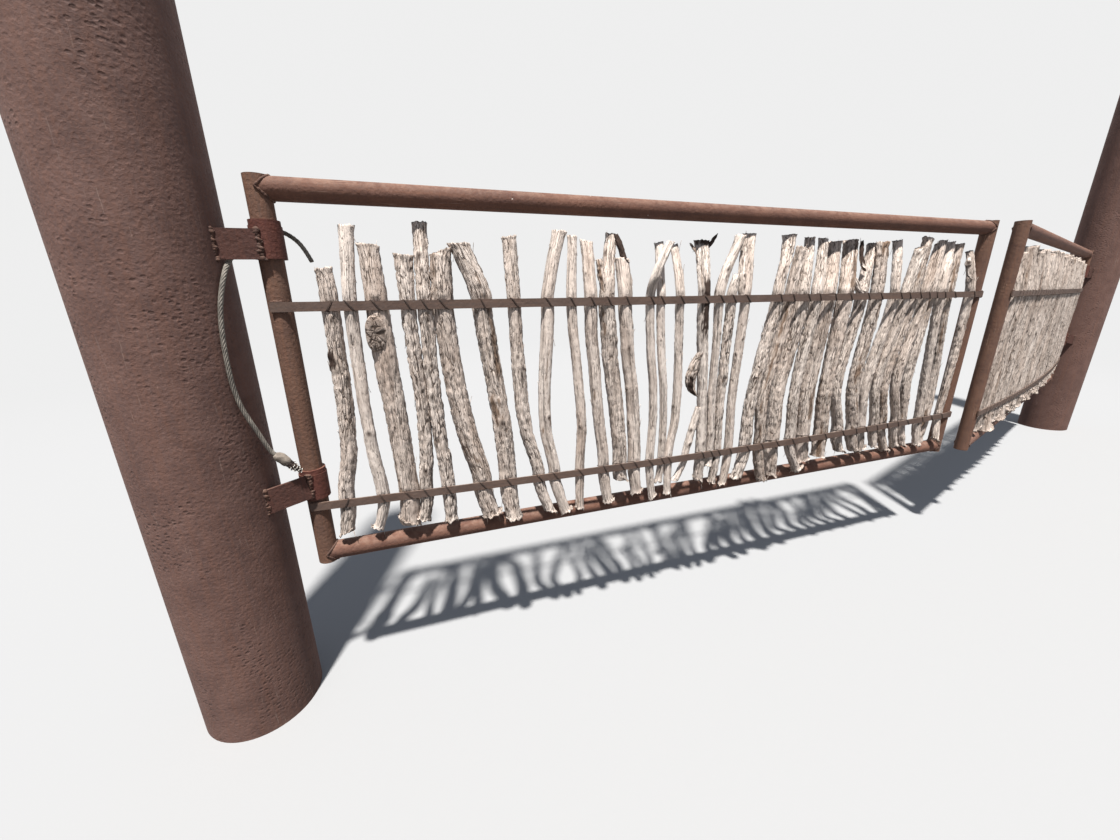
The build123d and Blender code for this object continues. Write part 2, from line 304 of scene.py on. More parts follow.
def tube(points, radius, around=8, closed=False):
    """Rings of points round a line. radius is one number, or one for each point."""
    points = np.asarray(points, float)
    sides, ups = path_frames(points, closed)
    radius = np.broadcast_to(np.asarray(radius, float), (len(points),))
    angle = np.linspace(0, 2 * math.pi, around, endpoint=False)
    ring = (np.cos(angle)[None, :, None] * sides[:, None]
            + np.sin(angle)[None, :, None] * ups[:, None])
    return points[:, None] + ring * radius[:, None, None]


print("rings and points in a short rod:", tube([(0, 0, 0), (0.1, 0, 0)], 0.01).shape[:2])

# %% [markdown]
# ## Shader nodes by name
#
# A material is a tree of nodes. Built by hand in the editor it is easy to see, but this file
# couldn't build it again. So a small class makes a node, joins it up and hands its output back,
# and a line read from the inside out says what feeds what.

# %% Node maker
def new_material(name):
    """An empty material with a Principled shader joined to its output."""
    material = bpy.data.materials.new(name)
    material.use_nodes = True
    tree = material.node_tree
    tree.nodes.clear()
    output = tree.nodes.new("ShaderNodeOutputMaterial")
    shader = tree.nodes.new("ShaderNodeBsdfPrincipled")
    tree.links.new(shader.outputs[0], output.inputs[0])
    return material, tree, shader


class NodeMaker:
    """Makes and joins the nodes of one tree. A value is a socket, a number or a colour."""

    def __init__(self, tree):
        self.tree = tree

    def node(self, kind, **settings):
        made = self.tree.nodes.new(kind)
        for key, value in settings.items():
            setattr(made, key, value)
        return made

    def join(self, value, socket):
        if isinstance(value, bpy.types.NodeSocket):
            self.tree.links.new(value, socket)
        else:
            socket.default_value = value

    def math(self, operation, a, b=0.0):
        made = self.node("ShaderNodeMath", operation=operation)
        self.join(a, made.inputs[0])
        self.join(b, made.inputs[1])
        return made.outputs[0]

    def plus(self, a, b):
        return self.math("ADD", a, b)

    def minus(self, a, b):
        return self.math("SUBTRACT", a, b)

    def times(self, a, b):
        return self.math("MULTIPLY", a, b)

    def scaled(self, vector, scale):
        made = self.node("ShaderNodeVectorMath", operation="MULTIPLY")
        self.join(vector, made.inputs[0])
        made.inputs[1].default_value = scale
        return made.outputs[0]

    def noise(self, vector, scale, detail=4.0, rough=0.55, distortion=0.0):
        made = self.node("ShaderNodeTexNoise")
        self.join(vector, made.inputs["Vector"])
        made.inputs["Scale"].default_value = scale
        made.inputs["Detail"].default_value = detail
        made.inputs["Roughness"].default_value = rough
        made.inputs["Distortion"].default_value = distortion
        return made.outputs["Fac"]

    def voronoi(self, vector, scale, feature="F1"):
        made = self.node("ShaderNodeTexVoronoi", feature=feature)
        self.join(vector, made.inputs["Vector"])
        made.inputs["Scale"].default_value = scale
        return made.outputs["Distance"]

    def ramp(self, value, low, high):
        """0 below low and 1 above high, smooth between."""
        made = self.node("ShaderNodeMapRange", interpolation_type="SMOOTHSTEP")
        self.join(value, made.inputs["Value"])
        made.inputs["From Min"].default_value = low
        made.inputs["From Max"].default_value = high
        return made.outputs[0]

    def fall(self, value, low, high):
        """1 below low and 0 above high, smooth between."""
        return self.minus(1.0, self.ramp(value, low, high))

    def mix(self, amount, a, b):
        made = self.node("ShaderNodeMix", data_type="RGBA")
        self.join(amount, made.inputs["Factor"])
        for value, socket in ((a, made.inputs[6]), (b, made.inputs[7])):
            self.join((*value, 1) if isinstance(value, tuple) else value, socket)
        return made.outputs[2]

    def bump(self, height, distance, strength=1.0):
        made = self.node("ShaderNodeBump")
        self.join(height, made.inputs["Height"])
        made.inputs["Distance"].default_value = distance
        made.inputs["Strength"].default_value = strength
        return made.outputs[0]

    def position(self):
        return self.node("ShaderNodeTexCoord").outputs["Object"]

    def facing_up(self):
        """How far the surface faces up: 1 on top, -1 underneath."""
        parts = self.node("ShaderNodeSeparateXYZ")
        self.join(self.node("ShaderNodeNewGeometry").outputs["Normal"], parts.inputs[0])
        return parts.outputs["Z"]

    def looked_at(self):
        """1 for what the camera sees, also in a reflection or through glass, and 0 for light."""
        ray = self.node("ShaderNodeLightPath").outputs
        mirrored = self.math("MAXIMUM", ray["Is Glossy Ray"], ray["Is Transmission Ray"])
        return self.math("MAXIMUM", ray["Is Camera Ray"], mirrored)

    def attribute(self, name, output="Fac"):
        return self.node("ShaderNodeAttribute", attribute_name=name).outputs[output]

    def group(self, tree, **inputs):
        made = self.node("ShaderNodeGroup", node_tree=tree)
        for key, value in inputs.items():
            self.join(value, made.inputs[key.replace("_", " ")])
        return made.outputs


def new_group(name, inputs, outputs):
    """An empty shader group with named inputs of any kind, and outputs that are all values."""
    tree = bpy.data.node_groups.new(name, "ShaderNodeTree")
    for label, kind in inputs.items():
        tree.interface.new_socket(label, in_out="INPUT", socket_type=kind)
    for label in outputs:
        tree.interface.new_socket(label, in_out="OUTPUT", socket_type=value_socket)
    start = tree.nodes.new("NodeGroupInput")
    end = tree.nodes.new("NodeGroupOutput")
    return tree, NodeMaker(tree), start.outputs, end.inputs


vector_socket, value_socket = "NodeSocketVector", "NodeSocketFloat"
print("node maker ready with", len([m for m in vars(NodeMaker) if m[0] != "_"]), "kinds of node")

# %% [markdown]
# ## Rust
#
# All the steel has rusted for years. It is brown in large blotches, peppered with fine bright
# specks, and shallowly pitted. The posts also have clusters of deeper dimples. A picture of rust
# wrapped round a pipe would show its seam. Noise of several scales has none, and one group of it
# serves every steel material.

# %% Rust group
rust_group, make, given, out = new_group(
    "rust_mottle", {"Position": vector_socket}, ["Blotch", "Speckle", "Pits", "Dimples"])
spot = given["Position"]
make.join(make.ramp(make.noise(spot, 9, 6, 0.62, 0.6), 0.34, 0.68), out["Blotch"])
make.join(make.ramp(make.noise(spot, 150, 3, 0.7), 0.42, 0.62), out["Speckle"])
pit_size = make.times(make.noise(spot, 30, 3), 0.5)
make.join(make.ramp(make.minus(make.voronoi(spot, 70), pit_size), -0.05, 0.35), out["Pits"])
# Dimples are separate dents, and a slow noise gathers them into patches
dent = make.fall(make.voronoi(make.scaled(spot, (48, 48, 62)), 1.0), 0.16, 0.42)
dented_here = make.ramp(make.noise(make.scaled(spot, (5, 5, 2.2)), 1.0, 3), 0.48, 0.60)
make.join(make.times(dent, dented_here), out["Dimples"])
print("rust group:", len(rust_group.nodes), "nodes")

# %% [markdown]
# ## Dust and scratches
#
# Pale dust lies on what faces up. Long streaks and fine scratches follow each pipe or bar, and a
# few chips show bright. A scratch is a noise squeezed to a hair across the pipe and drawn out
# along it, so this group is also given the place as it runs along, across and round a piece.

# %% Dust group
dust_group, make, given, out = new_group(
    "dust", {"Position": vector_socket, "Along": vector_socket, "Facing Up": value_socket},
    ["Dust", "Scratch", "Streak", "Chip"])
spot, run = given["Position"], given["Along"]
lying = make.ramp(given["Facing Up"], -0.1, 0.95)
patchy = make.ramp(make.noise(spot, 34, 5, 0.65, 0.3), 0.36, 0.64)
make.join(make.times(lying, patchy), out["Dust"])
long_noise = make.noise(make.scaled(run, (2.2, 75, 75)), 1.0, 4, 0.6)
make.join(make.ramp(long_noise, 0.40, 0.68), out["Streak"])
hair = make.ramp(make.noise(make.scaled(run, (9, 190, 190)), 1.0, 2, 0.5), 0.64, 0.70)
scratched_here = make.ramp(make.noise(spot, 7, 2), 0.5, 0.66)
make.join(make.times(hair, scratched_here), out["Scratch"])
chip = make.fall(make.voronoi(make.scaled(run, (17, 26, 26)), 1.0), 0.045, 0.075)
chipped_here = make.ramp(make.noise(spot, 11, 1), 0.56, 0.60)
make.join(make.times(chip, chipped_here), out["Chip"])
print("dust group:", len(dust_group.nodes), "nodes")

# %% [markdown]
# ## Steel
#
# The posts carry old brown paint gone dull, the frame is bare rusty pipe, and the hinge plates
# and sleeves have a redder, smoother oxide. They differ in colour and depth, not in kind, so one
# function builds them all from the two groups. Colours go on in the order in which the weather
# laid them: base, blotches, fresh rust, dust, scratches, and chips on top.

# %% Steel
chip_colour = (0.72, 0.66, 0.60)
dimple_shade = 0.45
steel_roughness, steel_gloss = 0.72, 0.22


def place_along(make, place, along):
    """The place measured along a direction and in two directions across it."""
    along = Vector(along).normalized()
    across = along.orthogonal().normalized()
    turned = make.node("ShaderNodeCombineXYZ")
    for i, axis in enumerate((along, across, along.cross(across))):
        part = make.node("ShaderNodeVectorMath", operation="DOT_PRODUCT")
        make.join(place, part.inputs[0])
        part.inputs[1].default_value = axis
        make.join(part.outputs["Value"], turned.inputs[i])
    return turned.outputs[0]


def steel(name, base, blotch, rust_colour, dust_colour, pit_depth,
          dust=0.5, streak=0.3, along=(0, 0, 1), dimples=0.0, chips=0.0):
    """Rusty steel. along is the direction in which its streaks and scratches run."""
    material, tree, shader = new_material(name)
    make = NodeMaker(tree)
    place = make.position()
    rust = make.group(rust_group, Position=place)
    dusty = make.group(dust_group, Position=place, Along=place_along(make, place, along),
                       Facing_Up=make.facing_up())
    colour = make.mix(rust["Blotch"], base, blotch)
    dimple_colour = tuple(dimple_shade * part for part in base)
    for mask, share, coat in (
        (rust["Speckle"], 0.30, rust_colour), (dusty["Streak"], streak, rust_colour),
        (dusty["Dust"], dust, dust_colour), (dusty["Scratch"], 0.55, dust_colour),
        (rust["Dimples"], 0.5 * dimples, dimple_colour), (dusty["Chip"], chips, chip_colour),
    ):
        colour = make.mix(make.times(mask, share), colour, coat)
    make.join(colour, shader.inputs["Base Color"])
    speckled = make.times(rust["Speckle"], 0.12)
    make.join(make.plus(speckled, steel_roughness), shader.inputs["Roughness"])
    make.join(steel_gloss, shader.inputs["Specular IOR Level"])
    relief = make.plus(make.times(rust["Pits"], 0.5), make.times(rust["Speckle"], 0.3))
    relief = make.minus(relief, make.times(rust["Dimples"], 1.4 * dimples))
    make.join(make.bump(relief, pit_depth, 0.8), shader.inputs["Normal"])
    return material


print("steel is", steel_roughness, "rough, and its chips show", chip_colour)

# %% Steel finishes
post_paint = steel("post_paint", (0.160, 0.098, 0.086), (0.112, 0.068, 0.061),
                   (0.19, 0.095, 0.068), (0.28, 0.20, 0.17), 0.0013, dust=0.3, dimples=1.0)
stile_rust = steel("stile_rust", (0.150, 0.088, 0.066), (0.105, 0.062, 0.050),
                   (0.20, 0.098, 0.062), (0.36, 0.25, 0.18), 0.0014, streak=0.4)
hinge_oxide = steel("hinge_oxide", (0.082, 0.040, 0.034), (0.060, 0.031, 0.027),
                    (0.125, 0.052, 0.038), (0.22, 0.14, 0.11), 0.0016, dust=0.4)
sleeve_oxide = steel("sleeve_oxide", (0.098, 0.036, 0.030), (0.070, 0.029, 0.025),
                     (0.16, 0.058, 0.040), (0.30, 0.17, 0.12), 0.0016, dust=0.45)
weld_metal = steel("weld_metal", (0.085, 0.050, 0.043), (0.055, 0.035, 0.031),
                   (0.15, 0.076, 0.052), (0.21, 0.145, 0.115), 0.0012, dust=0.4, streak=0.5)
rail_rust, bar_steel = {}, {}
for leaf in hinges:
    run = tuple(leaf_axes(leaf)[1])
    rail_rust[leaf] = steel(f"{leaf}_rail_rust", (0.150, 0.080, 0.062), (0.105, 0.056, 0.046),
                            (0.20, 0.096, 0.064), (0.33, 0.22, 0.17), 0.0014, dust=0.4,
                            streak=0.5, along=run, chips=0.9)
    bar_steel[leaf] = steel(f"{leaf}_bar_steel", (0.125, 0.090, 0.078), (0.090, 0.064, 0.056),
                            (0.155, 0.095, 0.07), (0.30, 0.23, 0.19), 0.0008, streak=0.4,
                            along=run)
print("steel materials:", len(bpy.data.materials))

# %% [markdown]
# ## Finish the steel pieces
#
# The CAD pieces keep their own meshes. Each only needs the right finish, and its name says what
# it is, so the names are looked through for the word that picks the material.

# %% Finish the steel pieces
finished = 0
for name, node in nodes.items():
    leaf = name.split("_")[0]
    finishes = {"post": post_paint, "stile": stile_rust, "rail": rail_rust.get(leaf),
                "bar": bar_steel.get(leaf), "plate": hinge_oxide, "sleeve": sleeve_oxide,
                "collar": sleeve_oxide}
    for word, material in finishes.items():
        if word in name.split("_"):
            node.data.materials.clear()
            node.data.materials.append(material)
            finished += 1
print("steel pieces with a finish:", finished)

# %% [markdown]
# ## Grain of bleached wood
#
# The branches have lost most of their bark. What is left is grey, stringy wood with fissures
# between plates of torn skin, long drying splits and dark flecks. All of it runs up the branch,
# so every noise is squeezed across the grain and drawn out along it. The grain is read from
# places that each branch stores for itself, so that it bends with the branch.

# %% Wood group
wood_group, make, given, out = new_group(
    "bleached_grain", {"Grain": vector_socket}, ["Fibre", "Fissure", "Split", "Patch", "Speck"])
bend = make.node("ShaderNodeTexNoise")
make.join(make.scaled(given["Grain"], (22, 22, 9)), bend.inputs["Vector"])
bend.inputs["Scale"].default_value = 1.0
warped = make.node("ShaderNodeVectorMath", operation="ADD")
make.join(given["Grain"], warped.inputs[0])
make.join(make.scaled(bend.outputs["Color"], (0.012, 0.012, 0.0)), warped.inputs[1])
grain = warped.outputs[0]


def drawn_out(across, along, *ways):
    """Noise of the warped grain, with its own number of cells a metre across and along."""
    return make.noise(make.scaled(grain, (across, across, along)), 1.0, *ways)


fine, coarse = drawn_out(700, 16, 3, 0.65), drawn_out(230, 7, 4, 0.6, 0.2)
make.join(make.plus(make.times(fine, 0.5), make.times(coarse, 0.5)), out["Fibre"])
skin_edge = make.voronoi(make.scaled(grain, (105, 105, 17)), 1.0, "DISTANCE_TO_EDGE")
fissured_here = make.ramp(drawn_out(60, 14, 3, 0.6), 0.42, 0.60)
make.join(make.times(make.fall(skin_edge, 0.0, 0.13), fissured_here), out["Fissure"])
# A split runs where a slow noise crosses its middle value
off_middle = make.math("ABSOLUTE", make.minus(drawn_out(95, 2.0, 3, 0.5, 0.2), 0.5))
split_here = make.ramp(drawn_out(40, 6, 2), 0.47, 0.56)
make.join(make.times(make.fall(off_middle, 0.0, 0.022), split_here), out["Split"])
make.join(drawn_out(20, 7, 4, 0.6), out["Patch"])
make.join(make.ramp(drawn_out(330, 60, 2, 0.6), 0.60, 0.68), out["Speck"])
print("wood group:", len(wood_group.nodes), "nodes")

# %% [markdown]
# ## Weathered wood
#
# Where the skin is torn it is grey and full of fissures, where it has worn away the wood is
# pale, and some bark, knots and char remain. The top rail's shadow is painted dark on a few
# heads. One material serves all 81 branches. What differs from place to place is stored on
# the mesh: tone, bark, a dark mark for knots, char and painted shadow, crack and shag, from
# 0 to 1.

# %% Wood material
def wood_material():
    """Bleached wood that reads its branch's grain, tone, bark, knots, cracks and shag."""
    material, tree, shader = new_material("weathered_wood")
    make = NodeMaker(tree)
    wood = make.group(wood_group, Grain=make.attribute("grain", "Vector"))
    shag = make.attribute("shag")
    fissure = make.times(wood["Fissure"], shag)
    between = make.minus(1.0, make.ramp(wood["Fibre"], 0.38, 0.58))
    grey = make.times(between, make.plus(make.times(shag, 0.4), 0.25))
    speck = make.times(wood["Speck"], make.plus(make.times(shag, 0.6), 0.36))
    colour = make.mix(make.ramp(wood["Patch"], 0.36, 0.62), (0.55, 0.445, 0.385),
                      (0.83, 0.715, 0.645))
    for amount, coat in (
        (make.times(make.attribute("tone"), 0.85), (0.90, 0.82, 0.765)),
        (grey, (0.31, 0.235, 0.185)),
        (make.times(make.attribute("bark"), 0.85), (0.20, 0.125, 0.08)),
        (make.times(fissure, 0.92), (0.10, 0.066, 0.05)),
        (speck, (0.10, 0.068, 0.05)),
        # The darkest colour marks knots and char, and also the top rail's shadow painted on a few
        # heads
        (make.attribute("knot"), (0.055, 0.037, 0.031)),
        (make.times(make.attribute("crack"), 0.8), (0.075, 0.052, 0.042)),
        (make.times(wood["Split"], 0.8), (0.06, 0.042, 0.034)),
    ):
        colour = make.mix(amount, colour, coat)
    make.join(colour, shader.inputs["Base Color"])
    make.join(0.9, shader.inputs["Roughness"])
    make.join(0.15, shader.inputs["Specular IOR Level"])
    relief = make.minus(make.times(wood["Fibre"], 0.8), make.times(wood["Split"], 0.7))
    relief = make.minus(relief, make.times(fissure, 1.1))
    relief = make.minus(relief, make.times(wood["Speck"], 0.35))
    make.join(make.bump(relief, 0.0035), shader.inputs["Normal"])
    return material


weathered_wood = wood_material()
print("wood material:", len(weathered_wood.node_tree.nodes), "nodes")

# %% [markdown]
# ## Wire and cable
#
# The tie wires are black annealed wire gone brown. The cable is dull grey wire rope, its end is
# cast in lead, and the cut wires there still shine. They all are fine things, so the rust group
# is read four times finer, and it only shades between a dark and a light colour.

# %% Wire and cable materials
def wire_metal(name, dark, light, rough, metallic):
    """Plain metal that shades between two colours as rust does."""
    material, tree, shader = new_material(name)
    make = NodeMaker(tree)
    rust = make.group(rust_group, Position=make.scaled(make.position(), (4, 4, 4)))
    make.join(make.mix(rust["Blotch"], dark, light), shader.inputs["Base Color"])
    speckled = make.times(rust["Speckle"], 0.2)
    make.join(make.plus(speckled, rough - 0.1), shader.inputs["Roughness"])
    make.join(metallic, shader.inputs["Metallic"])
    make.join(make.bump(rust["Speckle"], 0.0003, 0.5), shader.inputs["Normal"])
    return material


tie_wire = wire_metal("tie_wire", (0.040, 0.029, 0.026), (0.085, 0.055, 0.043), 0.7, 0.2)
cable_metal = wire_metal("cable_metal", (0.13, 0.118, 0.104), (0.27, 0.245, 0.215), 0.7, 0.1)
bright_wire = wire_metal("bright_wire", (0.72, 0.69, 0.64), (0.88, 0.86, 0.80), 0.4, 0.0)
lead_sleeve = wire_metal("lead_sleeve", (0.15, 0.125, 0.105), (0.36, 0.31, 0.265), 0.85, 0.0)
print("materials so far:", len(bpy.data.materials))

# %% [markdown]
# ## Route of the loose cable
#
# An old wire rope hangs in the near hinge. It comes over the back of the sleeve, out under the
# upper plate and down the post. It is stiff, so it keeps long bends. A cord could be simulated,
# but a stiff one that is wedged at one end keeps the shape it was left in, so its route is
# given by points, and a NURBS curve of order 3 rounds them off.

# %% Cable route
cable_route = [
    (0.434, -0.004, 1.7200), (0.417, 0.008, 1.7660), (0.385, 0.019, 1.8030),
    (0.342, 0.026, 1.8230), (0.295, 0.025, 1.8220), (0.254, 0.010, 1.7990),
    (0.230, -0.018, 1.7620), (0.214, -0.052, 1.7240), (0.201, -0.086, 1.6940),
    (0.189, -0.110, 1.6499), (0.173, -0.124, 1.5850), (0.165, -0.133, 1.5201),
    (0.161, -0.138, 1.4603), (0.159, -0.141, 1.3954), (0.159, -0.141, 1.3296),
    (0.169, -0.138, 1.2519), (0.195, -0.130, 1.1708), (0.209, -0.124, 1.1204),
    (0.221, -0.120, 1.0862), (0.235, -0.119, 1.0726),
]
cable_step = 0.006
route_curve = bpy.data.curves.new("route", "CURVE")
route_curve.dimensions = "3D"
spline = route_curve.splines.new("NURBS")
spline.points.add(len(cable_route) - 1)
for point, co in zip(spline.points, cable_route):
    point.co = (*co, 1)
spline.order_u = 3
spline.use_endpoint_u = True
spline.resolution_u = 12
route_object = bpy.data.objects.new("route", route_curve)
scene.collection.objects.link(route_object)
bpy.context.view_layer.update()
line_mesh = bpy.data.meshes.new_from_object(route_object)
cable_line = along_path([v.co for v in line_mesh.vertices], cable_step)
bpy.data.objects.remove(route_object)
print("cable line:", len(cable_line), "points")

# %% [markdown]
# ## Strands of the cable
#
# Wire rope is six strands laid in a helix round a core, and its light and dark stripes come from
# that. A bump could draw the stripes on a plain tube, but its outline would stay smooth. So each
# strand is a tube of its own that winds round the route.

# %% Cable strands
strand_count, strand_radius = 6, 0.0027
helix_radius, lay_length, core_radius = 0.0048, 0.085, 0.003
sides, ups = path_frames(cable_line)
strands = Skins()
phase = 2 * math.pi * cable_step * np.arange(len(cable_line)) / lay_length
for strand in range(strand_count):
    angle = (phase + strand * 2 * math.pi / strand_count)[:, None]
    centre = cable_line + helix_radius * (np.cos(angle) * sides + np.sin(angle) * ups)
    strands.add(tube(centre, strand_radius, 7))
strands.add(tube(cable_line, core_radius, 5))
cable = strands.finish("cable_strands", cable_metal)
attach(cable, "posts")
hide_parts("cable")

# %% [markdown]
# ## Cable end
#
# The end of the rope was cast into a lump of lead and then cut through, so its wires splay out
# past the lump like a brush. The lump is a turned profile with folds in it, and each wire is a
# thin tube from inside the lump to its own bright cut end.

# %% Lead lump
end_axis = cable_line[-1] - cable_line[-4]
end_axis = end_axis / np.linalg.norm(end_axis)
end_side = np.cross(end_axis, upright)
end_side = end_side / np.linalg.norm(end_side)
end_up = np.cross(end_side, end_axis)


def off_end(reach, across, angle):
    """A place beyond the cable's end, off its line by a distance at an angle."""
    off_line = math.cos(angle) * end_side + math.sin(angle) * end_up
    return cable_line[-1] + end_axis * reach + across * off_line


# How far beyond the cable's end, and the lump's radius there
lump_profile = [
    (-0.012, 0.0082), (-0.009, 0.0104), (-0.004, 0.0136), (0.003, 0.0156), (0.009, 0.0168),
    (0.016, 0.0170), (0.023, 0.0166), (0.030, 0.0160), (0.036, 0.0150), (0.040, 0.0135),
    (0.0425, 0.0110), (0.043, 0.0050),
]
lump_angles = np.linspace(0, 2 * math.pi, 30, endpoint=False)
lump_rings = []
for reach, radius in lump_profile:
    folds = 1 + 0.16 * noise(on_circle(lump_angles, 2.2, reach * 110), 5)
    lump_rings.append([off_end(reach, radius * f, angle) for f, angle in zip(folds, lump_angles)])
lump = Skins()
lump.add(np.array(lump_rings))
ferrule = lump.finish("cable_ferrule", lead_sleeve)

# %% Splayed wires
wire_count, wire_radius, turn_to_next = 46, 0.0017, 2.4
most_splay = math.radians(75)
splayed, bright_tips = Skins(), Skins()
for wire in range(wire_count):
    angle = wire * turn_to_next
    share = math.sqrt((wire + 0.5) / wire_count)
    root, middle = off_end(0.034, 0.0115 * share, angle), off_end(0.042, 0.0130 * share, angle)
    reach = 0.094 - 0.042 * share**2 + 0.004 * math.sin(wire * 5.3)
    tip = off_end(reach, 0.0172 * share, angle + 0.2)
    splay = most_splay * share**1.5
    onward = off_end(math.cos(splay), math.sin(splay), angle + 0.2) - off_end(0, 0, 0)
    bent = along_path([root, middle, tip - onward * 0.006, tip], 0.004)
    splayed.add(tube(bent, wire_radius, 7))
    cut_end = np.array([tip - onward * 0.001, tip + onward * 0.0004, tip + onward * 0.0012])
    bright_tips.add(tube(cut_end, [0.0018, 0.0023, 0.0017], 8))
frayed = splayed.finish("cable_frayed_wires", tie_wire)
cut_ends = bright_tips.finish("cable_cut_wire_ends", bright_wire)

# %% [markdown]
# ## The cable's end on the posts
#
# Wire rope is stiff but loose: it can be bent to another line, and its cast end goes with it.
# Here the lump, the splayed wires and their cut ends are fastened to the posts, as the strands
# are, the CAD model's cable end is hidden, and the length of the cable's line is printed.

# %% Cable end on the posts
for piece in (ferrule, frayed, cut_ends):
    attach(piece, "posts")
    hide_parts("cable_end")
print("cable line:", np.linalg.norm(np.diff(cable_line, axis=0), axis=1).sum().round(3), "m long")

# %% [markdown]
# ## Branches: read the simple solids
#
# Each picket is a whole crooked branch, thrust behind the two bars with its ends chopped. In the
# CAD model it is a plain solid with a few levels: its foot, both edges of each bar, the crook
# between the bars, and its head. The place, depth and width of the solid at those levels are
# measured on its mesh, so that the wood grows exactly where the solid stands.

# %% Solids of one mesh
def loose_solids(mesh):
    """The vertices of each solid in a mesh, as arrays of points."""
    co = np.array([v.co for v in mesh.vertices])
    _, same = np.unique(np.round(co, 5), axis=0, return_inverse=True)
    same = same.ravel()
    group = np.arange(same.max() + 1)
    changed = True
    while changed:
        changed = False
        for polygon in mesh.polygons:
            ids = same[list(polygon.vertices)]
            low = group[ids].min()
            if (group[ids] != low).any():
                group[ids] = low
                changed = True
    return [co[group[same] == label] for label in np.unique(group)]


print("branches in the first group:", len(loose_solids(nodes["near_pickets_1"].data)))

# %% Levels of one branch
straight_half = 0.022
crook = lower_bar + 0.3 * (upper_bar - lower_bar)
shared_levels = [
    lower_bar - straight_half, lower_bar + straight_half, crook,
    upper_bar - straight_half, upper_bar + straight_half, upper_bar + 0.090,
]
least_rise, arm_gap = 0.02, 0.03
# The solids have few sides, so that they measure a little narrower than they are
flat_side_share = 0.92


def branch_rings(leaf, points):
    """(height, place, depth, width) at each level of one branch solid."""
    local = to_leaf(leaf, points)
    low, high = local[:, 2].min(), local[:, 2].max()
    foot = local[abs(local[:, 2] - low) < 1e-4]
    head = local[abs(local[:, 2] - high) < 1e-4]
    rings = []
    for level in [low, *shared_levels, high]:
        at = local[abs(local[:, 2] - level) < 2e-4]
        if len(at) < 4 or (rings and level - rings[-1][0] < least_rise):
            continue
        # At a fork there are two arms: the one on the line from foot to head is the trunk
        share = (level - low) / (high - low)
        expected = foot[:, 0].mean() * (1 - share) + head[:, 0].mean() * share
        order = np.sort(at[:, 0])
        arms = np.split(order, np.where(np.diff(order) > arm_gap)[0] + 1)
        trunk = min(arms, key=lambda arm: abs(arm.mean() - expected))
        at = at[(at[:, 0] >= trunk[0] - 1e-6) & (at[:, 0] <= trunk[-1] + 1e-6)]
        left, near, _ = at.min(0)
        right, away, _ = at.max(0)
        width = (right - left) / flat_side_share
        rings.append((level, (right + left) / 2, (away + near) / 2, width))
    return rings


def smooth_along(known, values, wanted):
    """A smooth line through known values."""
    known, values = np.asarray(known), np.asarray(values)
    slopes = np.diff(values) / np.diff(known)
    tangents = np.concatenate([[slopes[0]], (slopes[1:] + slopes[:-1]) / 2, [slopes[-1]]])
    i = np.clip(np.searchsorted(known, wanted) - 1, 0, len(known) - 2)
    span = known[i + 1] - known[i]
    t = (wanted - known[i]) / span
    return ((2 * t**3 - 3 * t**2 + 1) * values[i] + (t**3 - 2 * t**2 + t) * span * tangents[i]
            + (3 * t**2 - 2 * t**3) * values[i + 1] + (t**3 - t**2) * span * tangents[i + 1])


print("levels shared by all branches:", [round(level, 3) for level in shared_levels])

# %% [markdown]
# ## Branches: the line of a trunk
#
# A grown branch is never straight and never even, so noise bends it and swells it. Near the bars
# it has to keep to its solid, where the real one is clamped. Above the upper bar many heads lean
# back. The camera looks up the gate at an angle, so a head that leans straight back would seem
# to step aside: it leans along its own line of sight instead, and stays where it is seen.

# %% Trunk line
# Where the camera stands along the near leaf, and how far before its branches
sight_place, sight_distance = 0.43, 1.67


def trunk_line(leaf, rings, seed, step, shag, lean, flare):
    """Heights, places, depths and widths up a trunk, and how free of the bars it is there."""
    known = [ring[0] for ring in rings]
    low, high = known[0], known[-1]
    heights = np.linspace(low, high, int((high - low) / step) + 1)
    place, depth, width = (smooth_along(known, [ring[i] for ring in rings], heights)
                           for i in (1, 2, 3))
    calm = np.ones_like(heights)
    for bar in (lower_bar, upper_bar):
        calm = np.minimum(calm, np.clip((abs(heights - bar) - 0.02) / 0.06, 0, 1))
    slow, quick = wobble(heights * 9, seed), wobble(heights * 27, seed + 1)
    place = place + calm * (0.0035 * slow + (0.001 + 0.0012 * shag) * quick)
    depth = depth + calm * 0.003 * wobble(heights * 8, seed + 2)
    leant = lean * np.clip((heights - upper_bar - 0.03) / 0.28, 0, 1) ** 1.3
    depth = depth + leant
    if leaf == "near":
        place = place + leant * (place - sight_place) / sight_distance
    slow, quick = wobble(heights * 7, seed + 3), wobble(heights * 26, seed + 4)
    width = width * (1.06 + 0.03 * shag + 0.06 * slow + 0.05 * shag * quick)
    foot_flare = np.clip(1 - (heights - low) / 0.05, 0, 1) ** 2
    head_flare = np.clip(1 - (high - heights) / 0.04, 0, 1) ** 2
    width = width * (1 + flare * foot_flare + 0.4 * flare * head_flare)
    return heights, place, depth, width, calm


first_near = branch_rings("near", loose_solids(nodes["near_pickets_1"].data)[0])
print("points up the first trunk:", len(trunk_line("near", first_near, 1, 0.008, 0.6, 0, 0.26)[0]))

# %% [markdown]
# ## Branches: what is on the skin
#
# Torn skin parts into plates with grooves between them, drying splits run up the wood, knots
# stand out round a dark heart, a few branches are stained, and on a few heads the top rail's
# shadow is painted dark. Each is worked out for every point of the skin, from its turn round
# the branch and its height, as a number from 0 to 1. The shape and the colour then use the
# same numbers, so a groove is dark where it is deep.

# %% Grooves
def turn_apart(angle):
    """The same angle between half a turn back and half a turn on."""
    return (angle + math.pi) % (2 * math.pi) - math.pi


